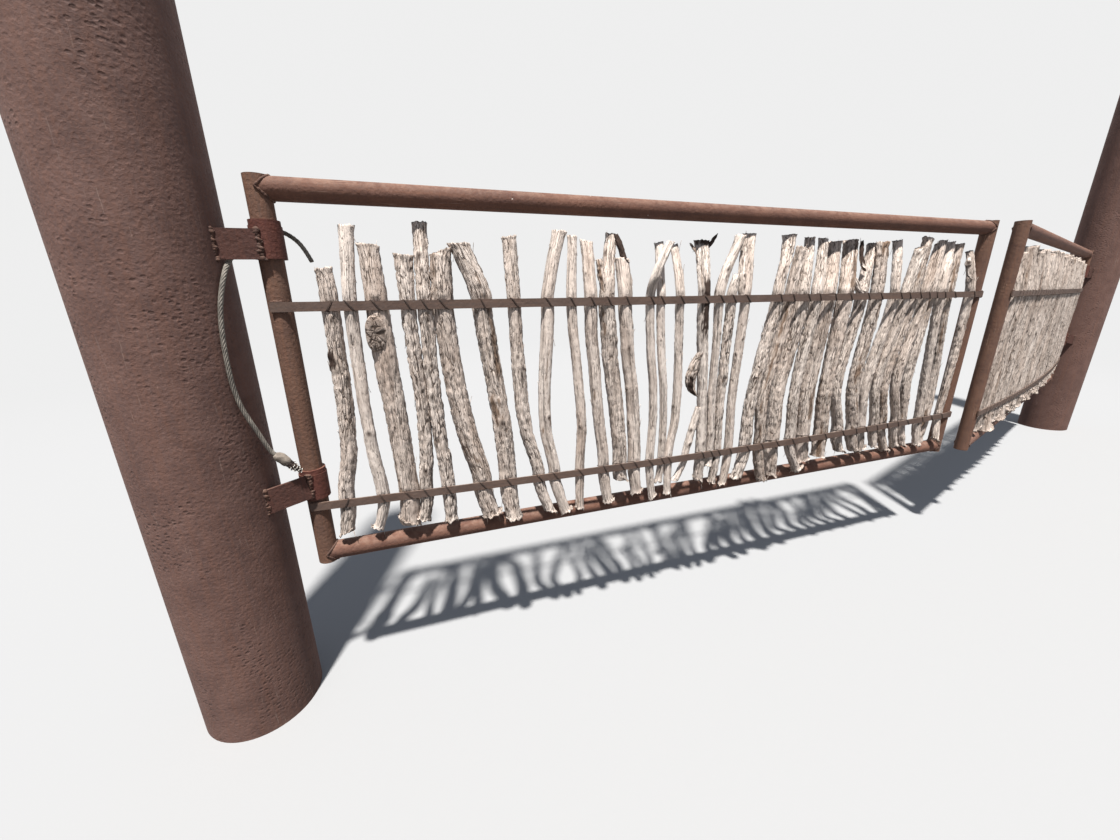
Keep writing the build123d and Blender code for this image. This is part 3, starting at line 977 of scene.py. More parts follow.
def cell_grooves(around_share, height, columns, cell_height, seed):
    """1 along the borders of a grid of uneven cells wrapped round a branch, 0 inside a cell."""
    u, v = around_share * columns, height / cell_height
    near, next_near = np.full(u.shape, 9.0), np.full(u.shape, 9.0)
    for i in (-1, 0, 1):
        for j in (-1, 0, 1):
            cu, cv = np.floor(u) + i, np.floor(v) + j
            cell = np.stack([cu % columns, cv, cv * 0], -1)
            du = cu + 0.15 + 0.7 * hashed(cell, seed) - u
            dv = cv + 0.1 + 0.8 * hashed(cell, seed + 1) - v
            apart = np.sqrt(du**2 + dv**2)
            next_near = np.minimum(next_near, np.maximum(near, apart))
            near = np.minimum(near, apart)
    return np.clip(1 - (next_near - near) / 0.35, 0, 1)


a, h = np.meshgrid(np.linspace(0, 2 * math.pi, 24, endpoint=False), np.linspace(0, 1, 80))
grooved = cell_grooves(a / (2 * math.pi), h, 9, 0.042, 1)
print("share of skin in grooves:", round(float(grooved.mean()), 2))

# %% Splits and knots
def drying_splits(a, h, dice, seed):
    """1 along a few long splits that drift round the branch, 0 away from them."""
    crack = np.zeros_like(a)
    for _ in range(dice.integers(3, 8)):
        at, middle = dice.uniform(0, 2 * math.pi), dice.uniform(h[0, 0], h[-1, 0])
        length, drift = dice.uniform(0.05, 0.35), dice.uniform(-0.8, 0.8)
        off = turn_apart(a - at - drift * (h - middle) - 0.15 * wobble(h * 30, seed + 8))
        fade = np.clip(1 - (abs(h - middle) / length) ** 2, 0, 1)
        crack = np.maximum(crack, np.exp(-((off / 0.14) ** 2)) * fade * dice.uniform(0.5, 1))
    return crack


def knots_on(a, h, width, dice, large):
    """How dark and how high each point is from a few small knots and the large ones given."""
    low, high = h[0, 0], h[-1, 0]
    dark, rise = np.zeros_like(a), np.zeros_like(a)
    small = [(dice.uniform(low + 0.05, max(high - 0.03, low + 0.06)),
              dice.uniform(math.pi, 2 * math.pi), dice.uniform(0.005, 0.011))
             for _ in range(dice.integers(2, 6))]
    for middle, at, size in [*small, *large]:
        off = turn_apart(a - at) * width[:, None] / 2
        apart = np.sqrt(off**2 + ((h - middle) * 0.7) ** 2) / size
        ring, heart = np.exp(-((apart / 1.6) ** 2)), np.exp(-((apart / 0.6) ** 2))
        rise += size * (0.5 * ring - 0.5 * heart)
        dark = np.maximum(dark, np.clip(1.2 - apart, 0, 1))
    return dark, rise


dark, rise = knots_on(a, h, np.full(80, 0.04), np.random.default_rng(1), [])
print("small knots stand out by", round(float(rise.max()) * 1000, 1), "mm")

# %% Stains
def stains_and_painted_shadows_on(a, h, on_skin, marks, seed):
    """Ragged patches of char, of painted shadow, of bark and of bare wood: kind, bottom, top, turn
    and half its spread.
    """
    found = {"knot": 0, "bark": 0, "tone": 0}
    for kind, bottom, top, turn, spread in marks:
        off = abs(turn_apart(a - turn)) / spread
        ends = abs(2 * h - bottom - top) / (top - bottom)
        ragged = 0.4 * noise(on_skin * 4 + h[..., None] * [0, 0, 28], seed + 21)
        ragged = ragged + 0.3 * noise(on_skin * 11 + h[..., None] * [0, 0, 80], seed + 22)
        inside = 1 - np.sqrt(off**2 + ends**4) + ragged
        found[kind] = np.maximum(found[kind], np.clip(inside * 3, 0, 1))
    return found


on_skin = np.stack([np.cos(a), np.sin(a), h * 0], -1)
stained = stains_and_painted_shadows_on(a, h, on_skin, [("knot", 0.4, 0.6, 4.7, 0.8)], 1)
print("share of skin under one stain:", round(float(stained["knot"].mean()), 2))

# %% [markdown]
# ## Branches: chopped ends
#
# The feet and heads were chopped with an axe, at a slant, and torn fibres were left standing.
# The top and bottom rows of the skin are pulled to that slant and made jagged, and three smaller
# rings at each end close it with rough end wood. Cutting with a Boolean would be slower, and it
# would leave a clean edge where the real one is torn.

# %% Chopped ends
end_shares = (0.62, 0.25, 0.02)
# The cut ends are coloured darker than the skin: partly weathered end grain, partly painted shade
# on the cut faces
end_look_with_painted_shade = {"tone": 0.15, "bark": 0.35, "knot": 0.2, "crack": 0.2, "shag": 0.8}
head_tear, end_reach = 0.008, 0.03


def chopped(h, angle, half, fringe, dice, torn, seed):
    """Heights of the skin's points with a slanted, torn cut at the head and at the foot."""
    heights, z = h[:, 0], h.copy()
    for end, direction, slant, tear in ((-1, 1, dice.uniform(-0.35, 0.35), head_tear),
                                        (0, -1, dice.uniform(-0.9, 0.9), torn)):
        reach = np.clip(1 - abs(heights - heights[end]) / end_reach, 0, 1)[:, None]
        jag = tear * (0.5 + 0.5 * noise(fringe, seed + 9 + direction))
        cut = slant * np.cos(angle) * half[end] - abs(slant) * half[end] - jag
        z = z + direction * reach * cut[None, :]
    return z


def end_wood(body, end, fringe, seed):
    """Rings that close one end of a branch with uneven end wood."""
    middle = body[end].mean(0)
    rows = []
    for share in end_shares:
        row = middle + (body[end] - middle) * share
        row[:, 2] += 0.004 * noise(fringe + share * 9, seed + 14) - (0.002 if end else -0.002)
        rows.append(row)
    return rows


print("rings that close an end:", len(end_shares))

# %% [markdown]
# ## Branches: collect a group
#
# The six to eight branches of one CAD node become one mesh. Besides the points, the grove keeps
# what the wood material reads at each of them. It also adds slivers: thin strips of torn fibre,
# fast at the root and lifting away, which break up the outline as the real wood's do.

# %% Grove
class Grove:
    """Collects branches of one group, with what the wood material needs at each point."""

    keys = ("tone", "bark", "knot", "crack", "shag")

    def __init__(self):
        self.skins = Skins()
        self.values = {key: [] for key in ("grain", *self.keys)}

    def add(self, leaf, rings, grain, values, capped=False):
        """rings in the leaf's own frame, and one value of each kind for each point."""
        world = on_leaf(leaf, rings[..., 0], rings[..., 1], rings[..., 2])
        self.skins.add(world, capped=capped)
        self.values["grain"].append(grain.reshape(-1, 3))
        for key in self.keys:
            self.values[key].append(np.broadcast_to(values[key], rings.shape[:2]).reshape(-1))

    def sliver(self, leaf, root, outward, length, width, lift, seed, tone):
        """A thin strip of torn fibre, fast at its root and lifting away from the branch."""
        side = np.cross(upright, outward)
        rings = []
        for t in (0.0, 0.35, 0.7, 1.0):
            middle = (root + upright * length * t + outward * (lift * t**1.6 - 0.001)
                      + side * lift * 0.4 * wobble(t * 2, seed))
            half, thick = width * (1 - 0.8 * t) / 2, 0.0009
            rings.append([middle + side * half, middle + outward * thick,
                          middle - side * half, middle - outward * thick])
        rings = np.array(rings)
        look = {"tone": tone, "bark": 0.5 * (seed % 3 == 0), "knot": 0.0, "crack": 0.0, "shag": 0.4}
        self.add(leaf, rings, rings + [seed * 0.11 % 3, 0, 0], look, capped=True)

    def finish(self, name):
        piece = self.skins.finish(name, weathered_wood)
        for key, rows in self.values.items():
            kind = "FLOAT_VECTOR" if key == "grain" else "FLOAT"
            add_attribute(piece, key, np.concatenate(rows), kind)
        return piece


print("a branch stores", ", ".join(Grove.keys), "and its grain")

# %% Torn fibres
# Shortest and longest, narrowest and widest, and how far they lift away
sliver_length, sliver_width, sliver_lift = (0.010, 0.045), (0.0015, 0.005), (0.002, 0.009)


def torn_fibres(grove, leaf, body, angle, calm, dice, seed, count):
    """Slivers that stand off the skin, most at the flanks, and a fringe at both ends."""
    around = len(angle)
    for number in range(count):
        row = dice.integers(4, len(body) - 8)
        if number % 4 == 0:
            row = dice.integers(0, 4) if number % 8 else len(body) - 6
        if calm[row] < 0.5:
            continue
        column = dice.choice([0, around // 2]) + dice.integers(-around // 6, around // 6 + 1)
        column = int(column) % around
        outward = np.array([math.cos(angle[column]), math.sin(angle[column]), 0])
        length = dice.uniform(*sliver_length) * (1 if number % 3 else -1)
        grove.sliver(leaf, body[row, column], outward, length, dice.uniform(*sliver_width),
                     dice.uniform(*sliver_lift), seed * 31 + number, dice.uniform(0, 0.8))


print("the longest sliver:", sliver_length[1] * 1000, "mm")

# %% [markdown]
# ## Branches: grow one
#
# Now the parts come together. A trunk gets its line, its round but lobed skin with grooves,
# splits and knots, flat cheeks where a bar clamps it, chopped ends and torn fibres. One function
# with a few numbers, such as how shaggy and how pale, grows them all. A sculpted mesh for each
# branch would be truer to one of them, but there are 81.

# %% Grow a branch
def grow(grove, leaf, rings, seed, around=40, step=0.008, shag=0.6, tone=0.4, bark=0.3, knots=(),
         lean=0.0, flare=0.26, slivers=14, marks=(), torn=0.022):
    """One branch along its rings, added to a grove."""
    dice = np.random.default_rng(seed)
    heights, place, depth, width, calm = trunk_line(leaf, rings, seed, step, shag, lean, flare)
    angle = np.linspace(0, 2 * math.pi, around, endpoint=False)
    a, h = np.meshgrid(angle, heights)
    rising = h[..., None] * [0, 0, 1]
    half = width[:, None] / 2

    # What is on the skin
    twist = dice.uniform(-1.0, 1.0)
    on_skin = np.stack([np.cos(a + twist * h), np.sin(a + twist * h), h * 0], -1)
    share = ((a + twist * h) / (2 * math.pi)) % 1
    columns = int(8 + width.mean() * 90)
    grooves = cell_grooves(share, h + 0.01 * wobble(h * 20 + a, seed), columns, 0.042, seed + 15)
    crack = drying_splits(a, h, dice, seed)
    knot_dark, knot_rise = knots_on(a, h, width, dice, knots)
    stains_and_painted_shadows = stains_and_painted_shadows_on(a, h, on_skin, marks, seed)

    # Its shape: lobes, flutes and roughness, quiet near the bars, and flat behind them
    lobes = 0.08 * noise(on_skin * 1.2 + [7, 3, 0] + rising * 3.5, seed + 5)
    flutes = 0.04 * noise(on_skin * 4.5 + rising * 3, seed + 6)
    rough = noise(on_skin * 7 + rising * 42, seed + 7)
    still = (0.35 + 0.65 * calm)[:, None]
    radius = half * (1 + lobes + flutes) * 0.985
    radius = radius + still * (0.0022 * shag * rough - 0.0042 * shag * grooves)
    radius = radius - 0.0035 * crack + knot_rise * calm[:, None]
    s = place[:, None] + radius * np.cos(a)
    y = depth[:, None] + 0.9 * radius * np.sin(a)
    to_bar = np.minimum(abs(h - lower_bar), abs(h - upper_bar))
    clamped = to_bar < bar_half_height + 0.005
    y = np.where(clamped, np.maximum(y, behind_bar(s, 0.0004)), y)
    fringe = on_circle(angle, 4.5, seed)
    body = np.stack([s, y, chopped(h, angle, half, fringe, dice, torn, seed)], -1)

    # Its looks: bark in patches, tone that drifts, and shag that comes and goes
    bark_patch = noise(np.stack([np.cos(a) * 1.6, np.sin(a) * 1.6, h * 6], -1), seed + 11)
    bark_fine = noise(np.stack([np.cos(a) * 6, np.sin(a) * 6, h * 40], -1), seed + 12)
    bark_left = (bark_patch + 0.35 * bark_fine - (1 - bark)) * 4
    tone_drift = 0.35 * noise(on_skin + rising * 4, seed + 13)
    shaggy = np.clip(shag + 0.35 * noise(on_skin + rising * 5, seed + 16), 0.1, 1)
    values = {
        "bark": np.clip(bark_left + stains_and_painted_shadows["bark"], 0, 1),
        "tone": np.clip(tone + tone_drift + stains_and_painted_shadows["tone"], 0, 1),
        "knot": np.maximum(knot_dark, stains_and_painted_shadows["knot"]),
        "crack": np.maximum(crack, 0.25 * grooves * shaggy),
        "shag": shaggy,
    }

    # The skin with its end wood, and the grain that both share
    below, above = end_wood(body, 0, fringe, seed)[::-1], end_wood(body, -1, fringe, seed)
    whole = np.concatenate([np.array(below), body, np.array(above)])
    spare = len(end_shares)
    full = {}
    for key, value in values.items():
        cut = np.full((spare, around), end_look_with_painted_shade[key])
        full[key] = np.concatenate([cut, value, cut])
    shrink = np.concatenate([end_shares[::-1], np.ones(len(heights)), end_shares])[:, None]
    wide = np.concatenate([np.full(spare, half[0]), half[:, 0], np.full(spare, half[-1])])[:, None]
    turned = angle[None, :] + twist * whole[..., 2]
    grain = np.stack([wide * shrink * np.cos(turned), wide * shrink * np.sin(turned),
                      whole[..., 2]], -1)
    own_grain = [seed * 0.37 % 5, seed * 0.73 % 5, seed * 0.19 % 5]
    grove.add(leaf, whole, grain + own_grain, full)
    torn_fibres(grove, leaf, body, angle, calm, dice, seed, slivers)


trial = Grove()
grow(trial, "near", first_near, 1)
print("points in one branch with its slivers:", trial.skins.count)

# %% [markdown]
# ## Sawn stump
#
# On the third near branch a thick side limb was sawn off, and the round stump faces the camera.
# It is a low dome whose rim is uneven and whose face has splits that run out from the heart. It
# is drawn ring by ring from the bark to the heart, so that splits and year rings follow it.

# %% Sawn stump
stump_points = 48
# Share of the stump's radius, and depth behind its face
stump_rows = [(1.10, 0.060), (1.14, 0.036), (1.10, 0.014), (1.0, 0.004), (0.93, 0.0), (0.8, -0.001),
              (0.62, -0.002), (0.45, -0.002), (0.3, -0.001), (0.16, 0.0), (0.03, 0.002)]
rim = 0.97


def sawn_stump(grove, leaf, place, height, across, tall, seed):
    """The sawn face of a thick side limb: a low dome with splits running out from its heart."""
    front = float(behind_bar(place)) - 0.012
    angle = np.linspace(0, 2 * math.pi, stump_points, endpoint=False)
    edge = 1 + 0.10 * noise(on_circle(angle, 1.6, 0), seed)
    split = np.clip(4 * noise(on_circle(angle, 9, 0), seed + 1) - 0.9, 0, 1)
    rings, cracks, dark = [], [], []
    for share, back in stump_rows:
        cut = split * (0.0045 if 0.1 < share < rim else 0)
        uneven = 0.0012 * wobble(angle * 4 + share * 9, seed + 2)
        rings.append(np.stack([place + across / 2 * share * edge * np.cos(angle) + back * 0.25,
                               front + back + cut + uneven,
                               height + tall / 2 * share * edge * np.sin(angle)], -1))
        cracks.append(split if share < rim else split * 0.3)
        year_ring = 0.18 * wobble(angle * 0.6 + share * 31, seed + 3)
        dark.append(np.full(stump_points, 0.5 if share < rim else 0.15) + year_ring)
    rings = np.array(rings)
    grain = np.stack([rings[..., 0] * 0.3, rings[..., 2] * 0.3, rings[..., 1] * 3], -1)
    look = {"tone": 0.1, "bark": 0.12, "knot": np.array(dark), "crack": np.array(cracks),
            "shag": 0.9}
    grove.add(leaf, rings, grain, look)


print("rings in the stump:", len(stump_rows))

# %% [markdown]
# ## What each near branch is like
#
# The near branches are seen one by one, and they differ. Some keep a torn, stringy skin, others
# are worn smooth and silvery, a few are brown, and some have large knots, char or side limbs of
# their own. Random numbers could give such a mixture but not this one, so what stands out on a
# branch is written down under its number, counted from the hinge.

# %% Looks of the near branches
smooth_ones = {2: 0.35, 9: 0.25, 10: 0.35, 11: 0.45, 13: 0.4, 14: 0.3, 15: 0.3, 16: 0.35,
               17: 0.5, 18: 0.45, 20: 0.4}
pale_ones = {2: 0.75, 4: 0.6, 5: 0.8, 9: 0.6, 12: 0.5, 14: 0.7, 15: 0.7, 16: 0.65, 17: 0.8,
             18: 0.75, 19: 0.7, 21: 0.7, 24: 0.7, 27: 0.6, 29: 0.5, 30: 0.65}
brown_ones = {3: 0.5, 7: 0.75, 8: 0.4, 17: 0.35, 22: 0.5, 25: 0.75, 26: 0.65, 28: 0.6, 31: 0.5,
              33: 0.5, 35: 0.55}
# Heads that lean far enough back to stand in the top rail's shadow
far_back = {5: 0.08, 11: 0.09, 12: 0.105, 13: 0.09, 15: 0.15, 16: 0.16, 17: 0.155, 20: 0.10,
            21: 0.095, 23: 0.11, 24: 0.11, 25: 0.145, 26: 0.145, 27: 0.10, 29: 0.085, 32: 0.08,
            34: 0.08, 36: 0.07}
# How much stouter than its solid a branch is, below and above the upper bar
stout = {2: (0.96, 0.96), 3: (1.15, 1.05), 4: (1.2, 1.2), 5: (1.1, 1.0), 6: (1.12, 1.18),
         7: (1.08, 1.3), 10: (1.15, 1.15), 11: (1.1, 1.1), 12: (1.2, 1.1), 13: (1.2, 1.3),
         18: (1.25, 1.7), 19: (1.25, 1.2), 21: (1.25, 1.0), 22: (1.25, 1.1), 23: (1.3, 1.1),
         24: (1.25, 1.2), 25: (1.3, 1.25), 26: (1.2, 1.15), 27: (1.35, 1.3), 28: (1.4, 1.4),
         29: (1.3, 1.05), 30: (1.3, 1.4), 31: (1.25, 1.2), 32: (1.4, 1.5), 33: (1.4, 1.7),
         34: (1.3, 1.7), 35: (1.4, 1.2), 36: (1.1, 1.35)}
# Large knots: height, turn round the branch (its front is at 4.7) and size
large_knots = {
    1: [(1.385, 3.6, 0.014)], 4: [(1.30, 4.4, 0.009), (0.93, 4.6, 0.010)],
    5: [(1.74, 4.5, 0.010), (1.69, 4.7, 0.009), (1.23, 4.4, 0.010)], 7: [(1.10, 4.6, 0.012)],
    8: [(1.32, 5.2, 0.011)], 12: [(1.66, 3.6, 0.016)], 13: [(1.20, 5.2, 0.007)],
    21: [(1.69, 4.3, 0.009)],
}
# Stains and painted shadows: what, from which height to which, turn round the branch and half its
# spread
stains_and_painted_shadows = {
    1: [("knot", 1.35, 1.43, 3.9, 0.7)], 2: [("bark", 1.57, 1.65, 4.9, 0.8)],
    # Branch 17's last mark darkens its head from 1.80 m up: partly char, partly the top rail's
    # shadow painted on
    17: [("knot", 1.40, 1.67, 5.0, 1.2), ("bark", 1.65, 1.77, 5.4, 0.8),
         ("tone", 1.32, 1.385, 4.4, 0.7), ("knot", 1.80, 1.93, 4.7, 3.4)],
    25: [("bark", 1.28, 1.42, 4.9, 0.6)],
}
print("near branches with large knots:", len(large_knots), "and with stains:", len(stains_and_painted_shadows))

# %% [markdown]
# ## Side limbs
#
# Some near branches fork above the upper bar, one has a stripped limb and a hanging slab of bark,
# and the last one has a thin curled shoot. A side limb is grown in the same way as a trunk, from
# a few levels of its own, and simply runs into its trunk as limbs do.

# %% Side limbs
# The top rail's shadow, painted dark from 1.7 to 1.9 m high on a limb and a twig
painted_rail_shadow = [("knot", 1.7, 1.9, 4.7, 3.0)]
twig = {"around": 10, "slivers": 0}
# Branch number: its limbs, each as (height, place, width) from low to high and its looks
side_limbs = {
    12: [([(1.594, 1.172, 0.032), (1.66, 1.158, 0.030), (1.74, 1.141, 0.026)],
          {"bark": 0.8, "shag": 1.0})],
    13: [([(1.715, 1.258, 0.030), (1.77, 1.237, 0.024), (1.838, 1.212, 0.019)],
          {"lean": 0.085, "marks": painted_rail_shadow})],
    17: [([(0.708, 1.560, 0.033), (0.816, 1.605, 0.033), (0.860, 1.611, 0.034),
           (1.085, 1.668, 0.034)], {"tone": 0.8, "shag": 0.5}),
         ([(1.13, 1.640, 0.014), (1.17, 1.616, 0.036), (1.22, 1.612, 0.044), (1.29, 1.630, 0.044),
           (1.36, 1.658, 0.030)],
          {"bark": 0.95, "shag": 1.0, "marks": [("knot", 1.12, 1.24, 4.2, 1.0)]}),
         ([(1.77, 1.630, 0.007), (1.82, 1.655, 0.008), (1.864, 1.678, 0.004)],
          {"marks": painted_rail_shadow, **twig}),
         ([(1.745, 1.590, 0.006), (1.78, 1.572, 0.006), (1.815, 1.548, 0.004)],
          {"bark": 1.2, **twig})],
    20: [([(1.56, 1.850, 0.034), (1.70, 1.838, 0.036), (1.862, 1.836, 0.030)],
          {"tone": 0.7, "shag": 0.8})],
    27: [([(1.575, 2.605, 0.036), (1.62, 2.560, 0.034), (1.665, 2.524, 0.026)],
          {"tone": 0.6, "shag": 0.9}),
         # This prong's brown bark and its dark mark from 1.72 m up are partly bark and partly the
         # top rail's shadow, painted on
         ([(1.69, 2.585, 0.022), (1.77, 2.545, 0.020), (1.851, 2.530, 0.013)],
          {"bark": 0.9, "lean": 0.11, "marks": [("knot", 1.72, 1.90, 4.7, 2.4)]})],
    36: [([(1.650, 3.488, 0.006), (1.662, 3.458, 0.012), (1.70, 3.428, 0.015),
           (1.78, 3.408, 0.014)], {"tone": 1.0, "shag": 0.3, "around": 16})],
}
stump_branch, stump_seed = 3, 77
stump = {"place": 0.289, "height": 1.478, "across": 0.068, "tall": 0.124}
print("side limbs:", sum(len(limbs) for limbs in side_limbs.values()))

# %% [markdown]
# ## All the branches
#
# The solids had to stay clear of each other, and the real branches don't: they touch and cross.
# So each grown trunk may be stouter than its solid, and it is set back by as much, which keeps
# its front against the bars. On the crowded part of the near leaf every second one stands a
# little deeper. The far leaf is seen nearly edge on, so its branches take chance looks.

# %% Stouter trunks
def stouter(rings, below, above, back=0.0):
    """Rings made wider and set back, so that their front stays against the bars."""
    made = []
    for height, place, depth, width in rings:
        more = float(np.interp(height, [upper_bar - 0.05, upper_bar + 0.08], [below, above]))
        made.append((height, place, depth + 0.45 * width * (more - 1) + back, width * more))
    return made


thickest = stouter(first_near, 1.4, 1.7)[-1][3]
print("a stouter head:", round(first_near[-1][3], 3), "m wide becomes", round(thickest, 3))

# %% Grow both leaves
crowded_from, crowded_back = 21, 0.013
far_seed, limb_seed = 100, 300


def grow_near(grove, number, rings, dice):
    """One near branch with its limbs, and what its tie wires have to go round."""
    deeper = crowded_back * (number > crowded_from and number % 2)
    rings = stouter(rings, *stout.get(number, (1.0, 1.0)), deeper)
    look = {
        "shag": smooth_ones.get(number, dice.uniform(0.65, 1.0)),
        "tone": pale_ones.get(number, dice.uniform(0.15, 0.5)),
        "bark": brown_ones.get(number, 0.28), "knots": large_knots.get(number, ()),
        "lean": far_back.get(number, dice.uniform(0.03, 0.05)), "marks": stains_and_painted_shadows.get(number, ()),
        "slivers": 26 if number >= crowded_from else 16,
    }
    grow(grove, "near", rings, number, **look)
    for i, (limb, ways) in enumerate(side_limbs.get(number, [])):
        limb = [(height, place, float(behind_bar(place)) + 0.46 * width + 0.004, width)
                for height, place, width in limb]
        ways = {"lean": look["lean"], "slivers": 3, "torn": 0.008, "step": 0.004, **ways}
        grow(grove, "near", limb, limb_seed + 10 * number + i, flare=0.1, **ways)
    if number == stump_branch:
        sawn_stump(grove, "near", seed=stump_seed, **stump)
    return rings


def grow_far(grove, number, rings, dice):
    """One far branch, in fewer steps because it is seen from afar."""
    rings = stouter(rings, 1.2, 1.12, 0.004)
    grow(grove, "far", rings, far_seed + number, around=22, step=0.013, slivers=8,
         shag=dice.uniform(0.5, 0.9), tone=dice.uniform(0.1, 0.6), lean=dice.uniform(0.02, 0.05))
    return rings


tied = {"near": [], "far": []}
for leaf, grow_one in (("near", grow_near), ("far", grow_far)):
    for group in range(1, 7):
        node = nodes[f"{leaf}_pickets_{group}"]
        solids = sorted(loose_solids(node.data), key=lambda p: to_leaf(leaf, p)[:, 0].mean())
        grove = Grove()
        for points in solids:
            number = len(tied[leaf]) + 1
            dice = np.random.default_rng(number)
            tied[leaf].append(grow_one(grove, number, branch_rings(leaf, points), dice))
        piece = grove.finish(f"{leaf}_branches_{group}")
        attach(piece, f"{leaf}_leaf")
        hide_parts(f"{leaf}_pickets_{group}")
    print(leaf, "leaf:", len(tied[leaf]), "branches")

# %% [markdown]
# ## Weld beads: tools
#
# The gate is stick welded. Where pipe meets pipe a saddle bead runs round the joint, and it
# swells and shrinks with every dab of the rod. A modelled torus would be too even, so a bead is
# a tube along the joint's line with noise in its path and its thickness. The heavy hinge welds
# are separate blobs, half on top of each other, so they are built dab by dab.

# %% Bead and dab
def bead(line, thickness, seed, lumps, closed=False):
    """A lumpy tube round a joint's line."""
    line = along_path(line, 0.0028, closed)
    step = np.arange(len(line))
    jitter = np.stack([wobble(step * 0.45, seed + i) for i in range(3)], -1)
    line = line + jitter * thickness * 0.3
    size = thickness * (1 + lumps * wobble(step * 0.38, seed + 4) + 0.12 * np.cos(step * 1.6))
    rings = tube(line, size, 10, closed)
    return rings + 0.12 * thickness * noise(rings * 260, seed)[..., None]


def dab(centre, across, upward, outward, size, seed):
    """One lumpy blob of weld metal: half its width, height and thickness."""
    turned = np.linspace(0, 2 * math.pi, 14, endpoint=False)[:, None]
    rings = []
    for polar in np.linspace(0.08, math.pi - 0.08, 9):
        rings.append(math.sin(polar) * np.cos(turned) * across * size[0]
                     + math.cos(polar) * upward * size[1]
                     + math.sin(polar) * np.sin(turned) * outward * size[2])
    rings = np.array(rings)
    return centre + rings * (1 + 0.28 * noise(rings * 190 + seed * 1.7, seed))[..., None]


print("rings in a dab:", len(dab(0, upright, upright, upright, (1, 1, 1), 1)))

# %% [markdown]
# ## Hinge welds
#
# Each hinge plate is welded to the post at one end and to the sleeve at the other. The plates
# are turned and dipped a little, so the welds are placed in each plate's own directions: short of
# the hinge pin, forward of it, and up the plate. Where the plate meets the round post is found
# by walking along it until the post's radius is reached.

# %% Places on a hinge plate
plate_setback, post_radius, post_spacing = 0.022, 0.2036, 7.91


class HingePlate:
    """Places on one hinge plate, turned and dipped as its CAD plate is."""

    def __init__(self, leaf, sleeve_middle, turn, dip):
        x, y, _, self.side = hinges[leaf]
        turn, self.dip = math.radians(self.side * turn), math.tan(math.radians(dip))
        self.height = sleeve_middle
        self.centre = np.array([x, y, 0])
        self.along = np.array([math.cos(turn), math.sin(turn), 0])
        self.toward = np.array([math.sin(turn), -math.cos(turn), 0])

    def at(self, short, forward, rise):
        """A place short of the hinge's pin, forward of it and above the plate's middle."""
        drop = (short - plate_setback) * self.dip
        return (self.centre - self.side * short * self.along + forward * self.toward
                + np.array([0, 0, self.height + rise - drop]))

    def reach_to_post(self, forward):
        """How far short of the pin the plate meets its post."""
        post = np.array([0.0 if self.side > 0 else post_spacing, 0, 0])
        shorts = np.linspace(0.06, 0.26, 400)
        gaps = [np.hypot(*(self.at(short, forward, 0) - post)[:2]) for short in shorts]
        return float(shorts[int(np.argmax(np.array(gaps) < post_radius))])


# Leaf, middle of the sleeve, and the plate's turn and dip in degrees
hinge_plates = [
    HingePlate("near", 1.764, -3, 1), HingePlate("near", 0.928, 6, 10),
    HingePlate("far", 1.744, -3, 1), HingePlate("far", 1.062, 6, 10),
]
plate_front = 0.054
for plate in hinge_plates:
    reach = plate.reach_to_post(plate_front)
    print("plate meets its post", round(reach, 3), "m short of the pin")

# %% Hinge welds
weld_half_height = 0.046
hinge_dabs = Skins()
for number, plate in enumerate(hinge_plates):
    dice = np.random.default_rng(60 + number)
    post_reach = plate.reach_to_post(plate_front)
    # One run on the sleeve and two on the post: short, forward, count of dabs and their size
    for short, forward, count, wide in ((0.018, 0.0480, 13, 0.0135),
                                        (post_reach + 0.003, plate_front, 15, 0.0135),
                                        (post_reach + 0.013, 0.0475, 13, 0.0130)):
        for rise in np.linspace(-weld_half_height, weld_half_height, count):
            slope = dice.uniform(-0.5, 0.5)
            across = math.cos(slope) * plate.along + math.sin(slope) * upright
            over = math.cos(slope) * upright - math.sin(slope) * plate.along
            centre = plate.at(short + dice.uniform(-0.0035, 0.0035),
                              forward + dice.uniform(-0.0015, 0.001),
                              rise + dice.uniform(-0.003, 0.003))
            size = (wide * dice.uniform(0.6, 1.1), dice.uniform(0.0050, 0.0085),
                    dice.uniform(0.0040, 0.0068))
            blob = dab(centre, across, over, plate.toward, size, int(dice.integers(1, 999)))
            hinge_dabs.add(blob)
hinge_beads = hinge_dabs.finish("hinge_beads", weld_metal)
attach(hinge_beads, "posts")

# %% [markdown]
# ## Frame welds
#
# Each rail's end is cut to a saddle that fits the upright pipe, and the bead follows the curve
# where two equal pipes cross: as far in as the pipe is wide, seen from the side. The flat bars
# have a short bead above and below each end.

# %% Frame welds
saddle_gap, saddle_share = 0.0012, 1.02
rail_heights = (1.9335, 0.6215)
round_pipe = np.linspace(0, 2 * math.pi, 40, endpoint=False)
for leaf in hinges:
    beads = Skins()
    for end in (0, 1):
        for height in rail_heights:
            inward = pipe_radius * abs(np.cos(round_pipe)) + saddle_gap
            place = inward if end == 0 else leaf_length - inward
            saddle = on_leaf(leaf, place, saddle_share * pipe_radius * np.sin(round_pipe),
                             height + saddle_share * pipe_radius * np.cos(round_pipe))
            beads.add(bead(saddle, 0.0042, int(height * 10) + end, 0.4, True), closed=True)
        for bar in (upper_bar, lower_bar):
            for edge in (-1, 1):
                place = np.linspace(-0.019, 0.017, 6) + end * leaf_length
                back = behind_bar(np.clip(place, 0, leaf_length)) - 0.001
                line = on_leaf(leaf, place, back, bar + edge * (bar_half_height + saddle_gap))
                beads.add(bead(line, 0.0036, int(bar * 10) + edge + end, 0.5))
    piece = beads.finish(f"{leaf}_leaf_beads", weld_metal)
    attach(piece, f"{leaf}_leaf")

# %% [markdown]
# ## Tie wires
#
# Every branch is lashed to both bars with two turns of soft wire that cross the bar at a slant.
# Each turn is a closed line of twelve points: down over the bar's front, round the branch's flank
# and back, and up again. It is worked out from the branch's own width and depth behind the bar,
# so the wire is as tight as a real one.

# %% Tie wires
wire_turns, turn_gap, tie_radius, wire_gap = 2, 0.0030, 0.0012, 0.0013
lean_over_bar = 0.010


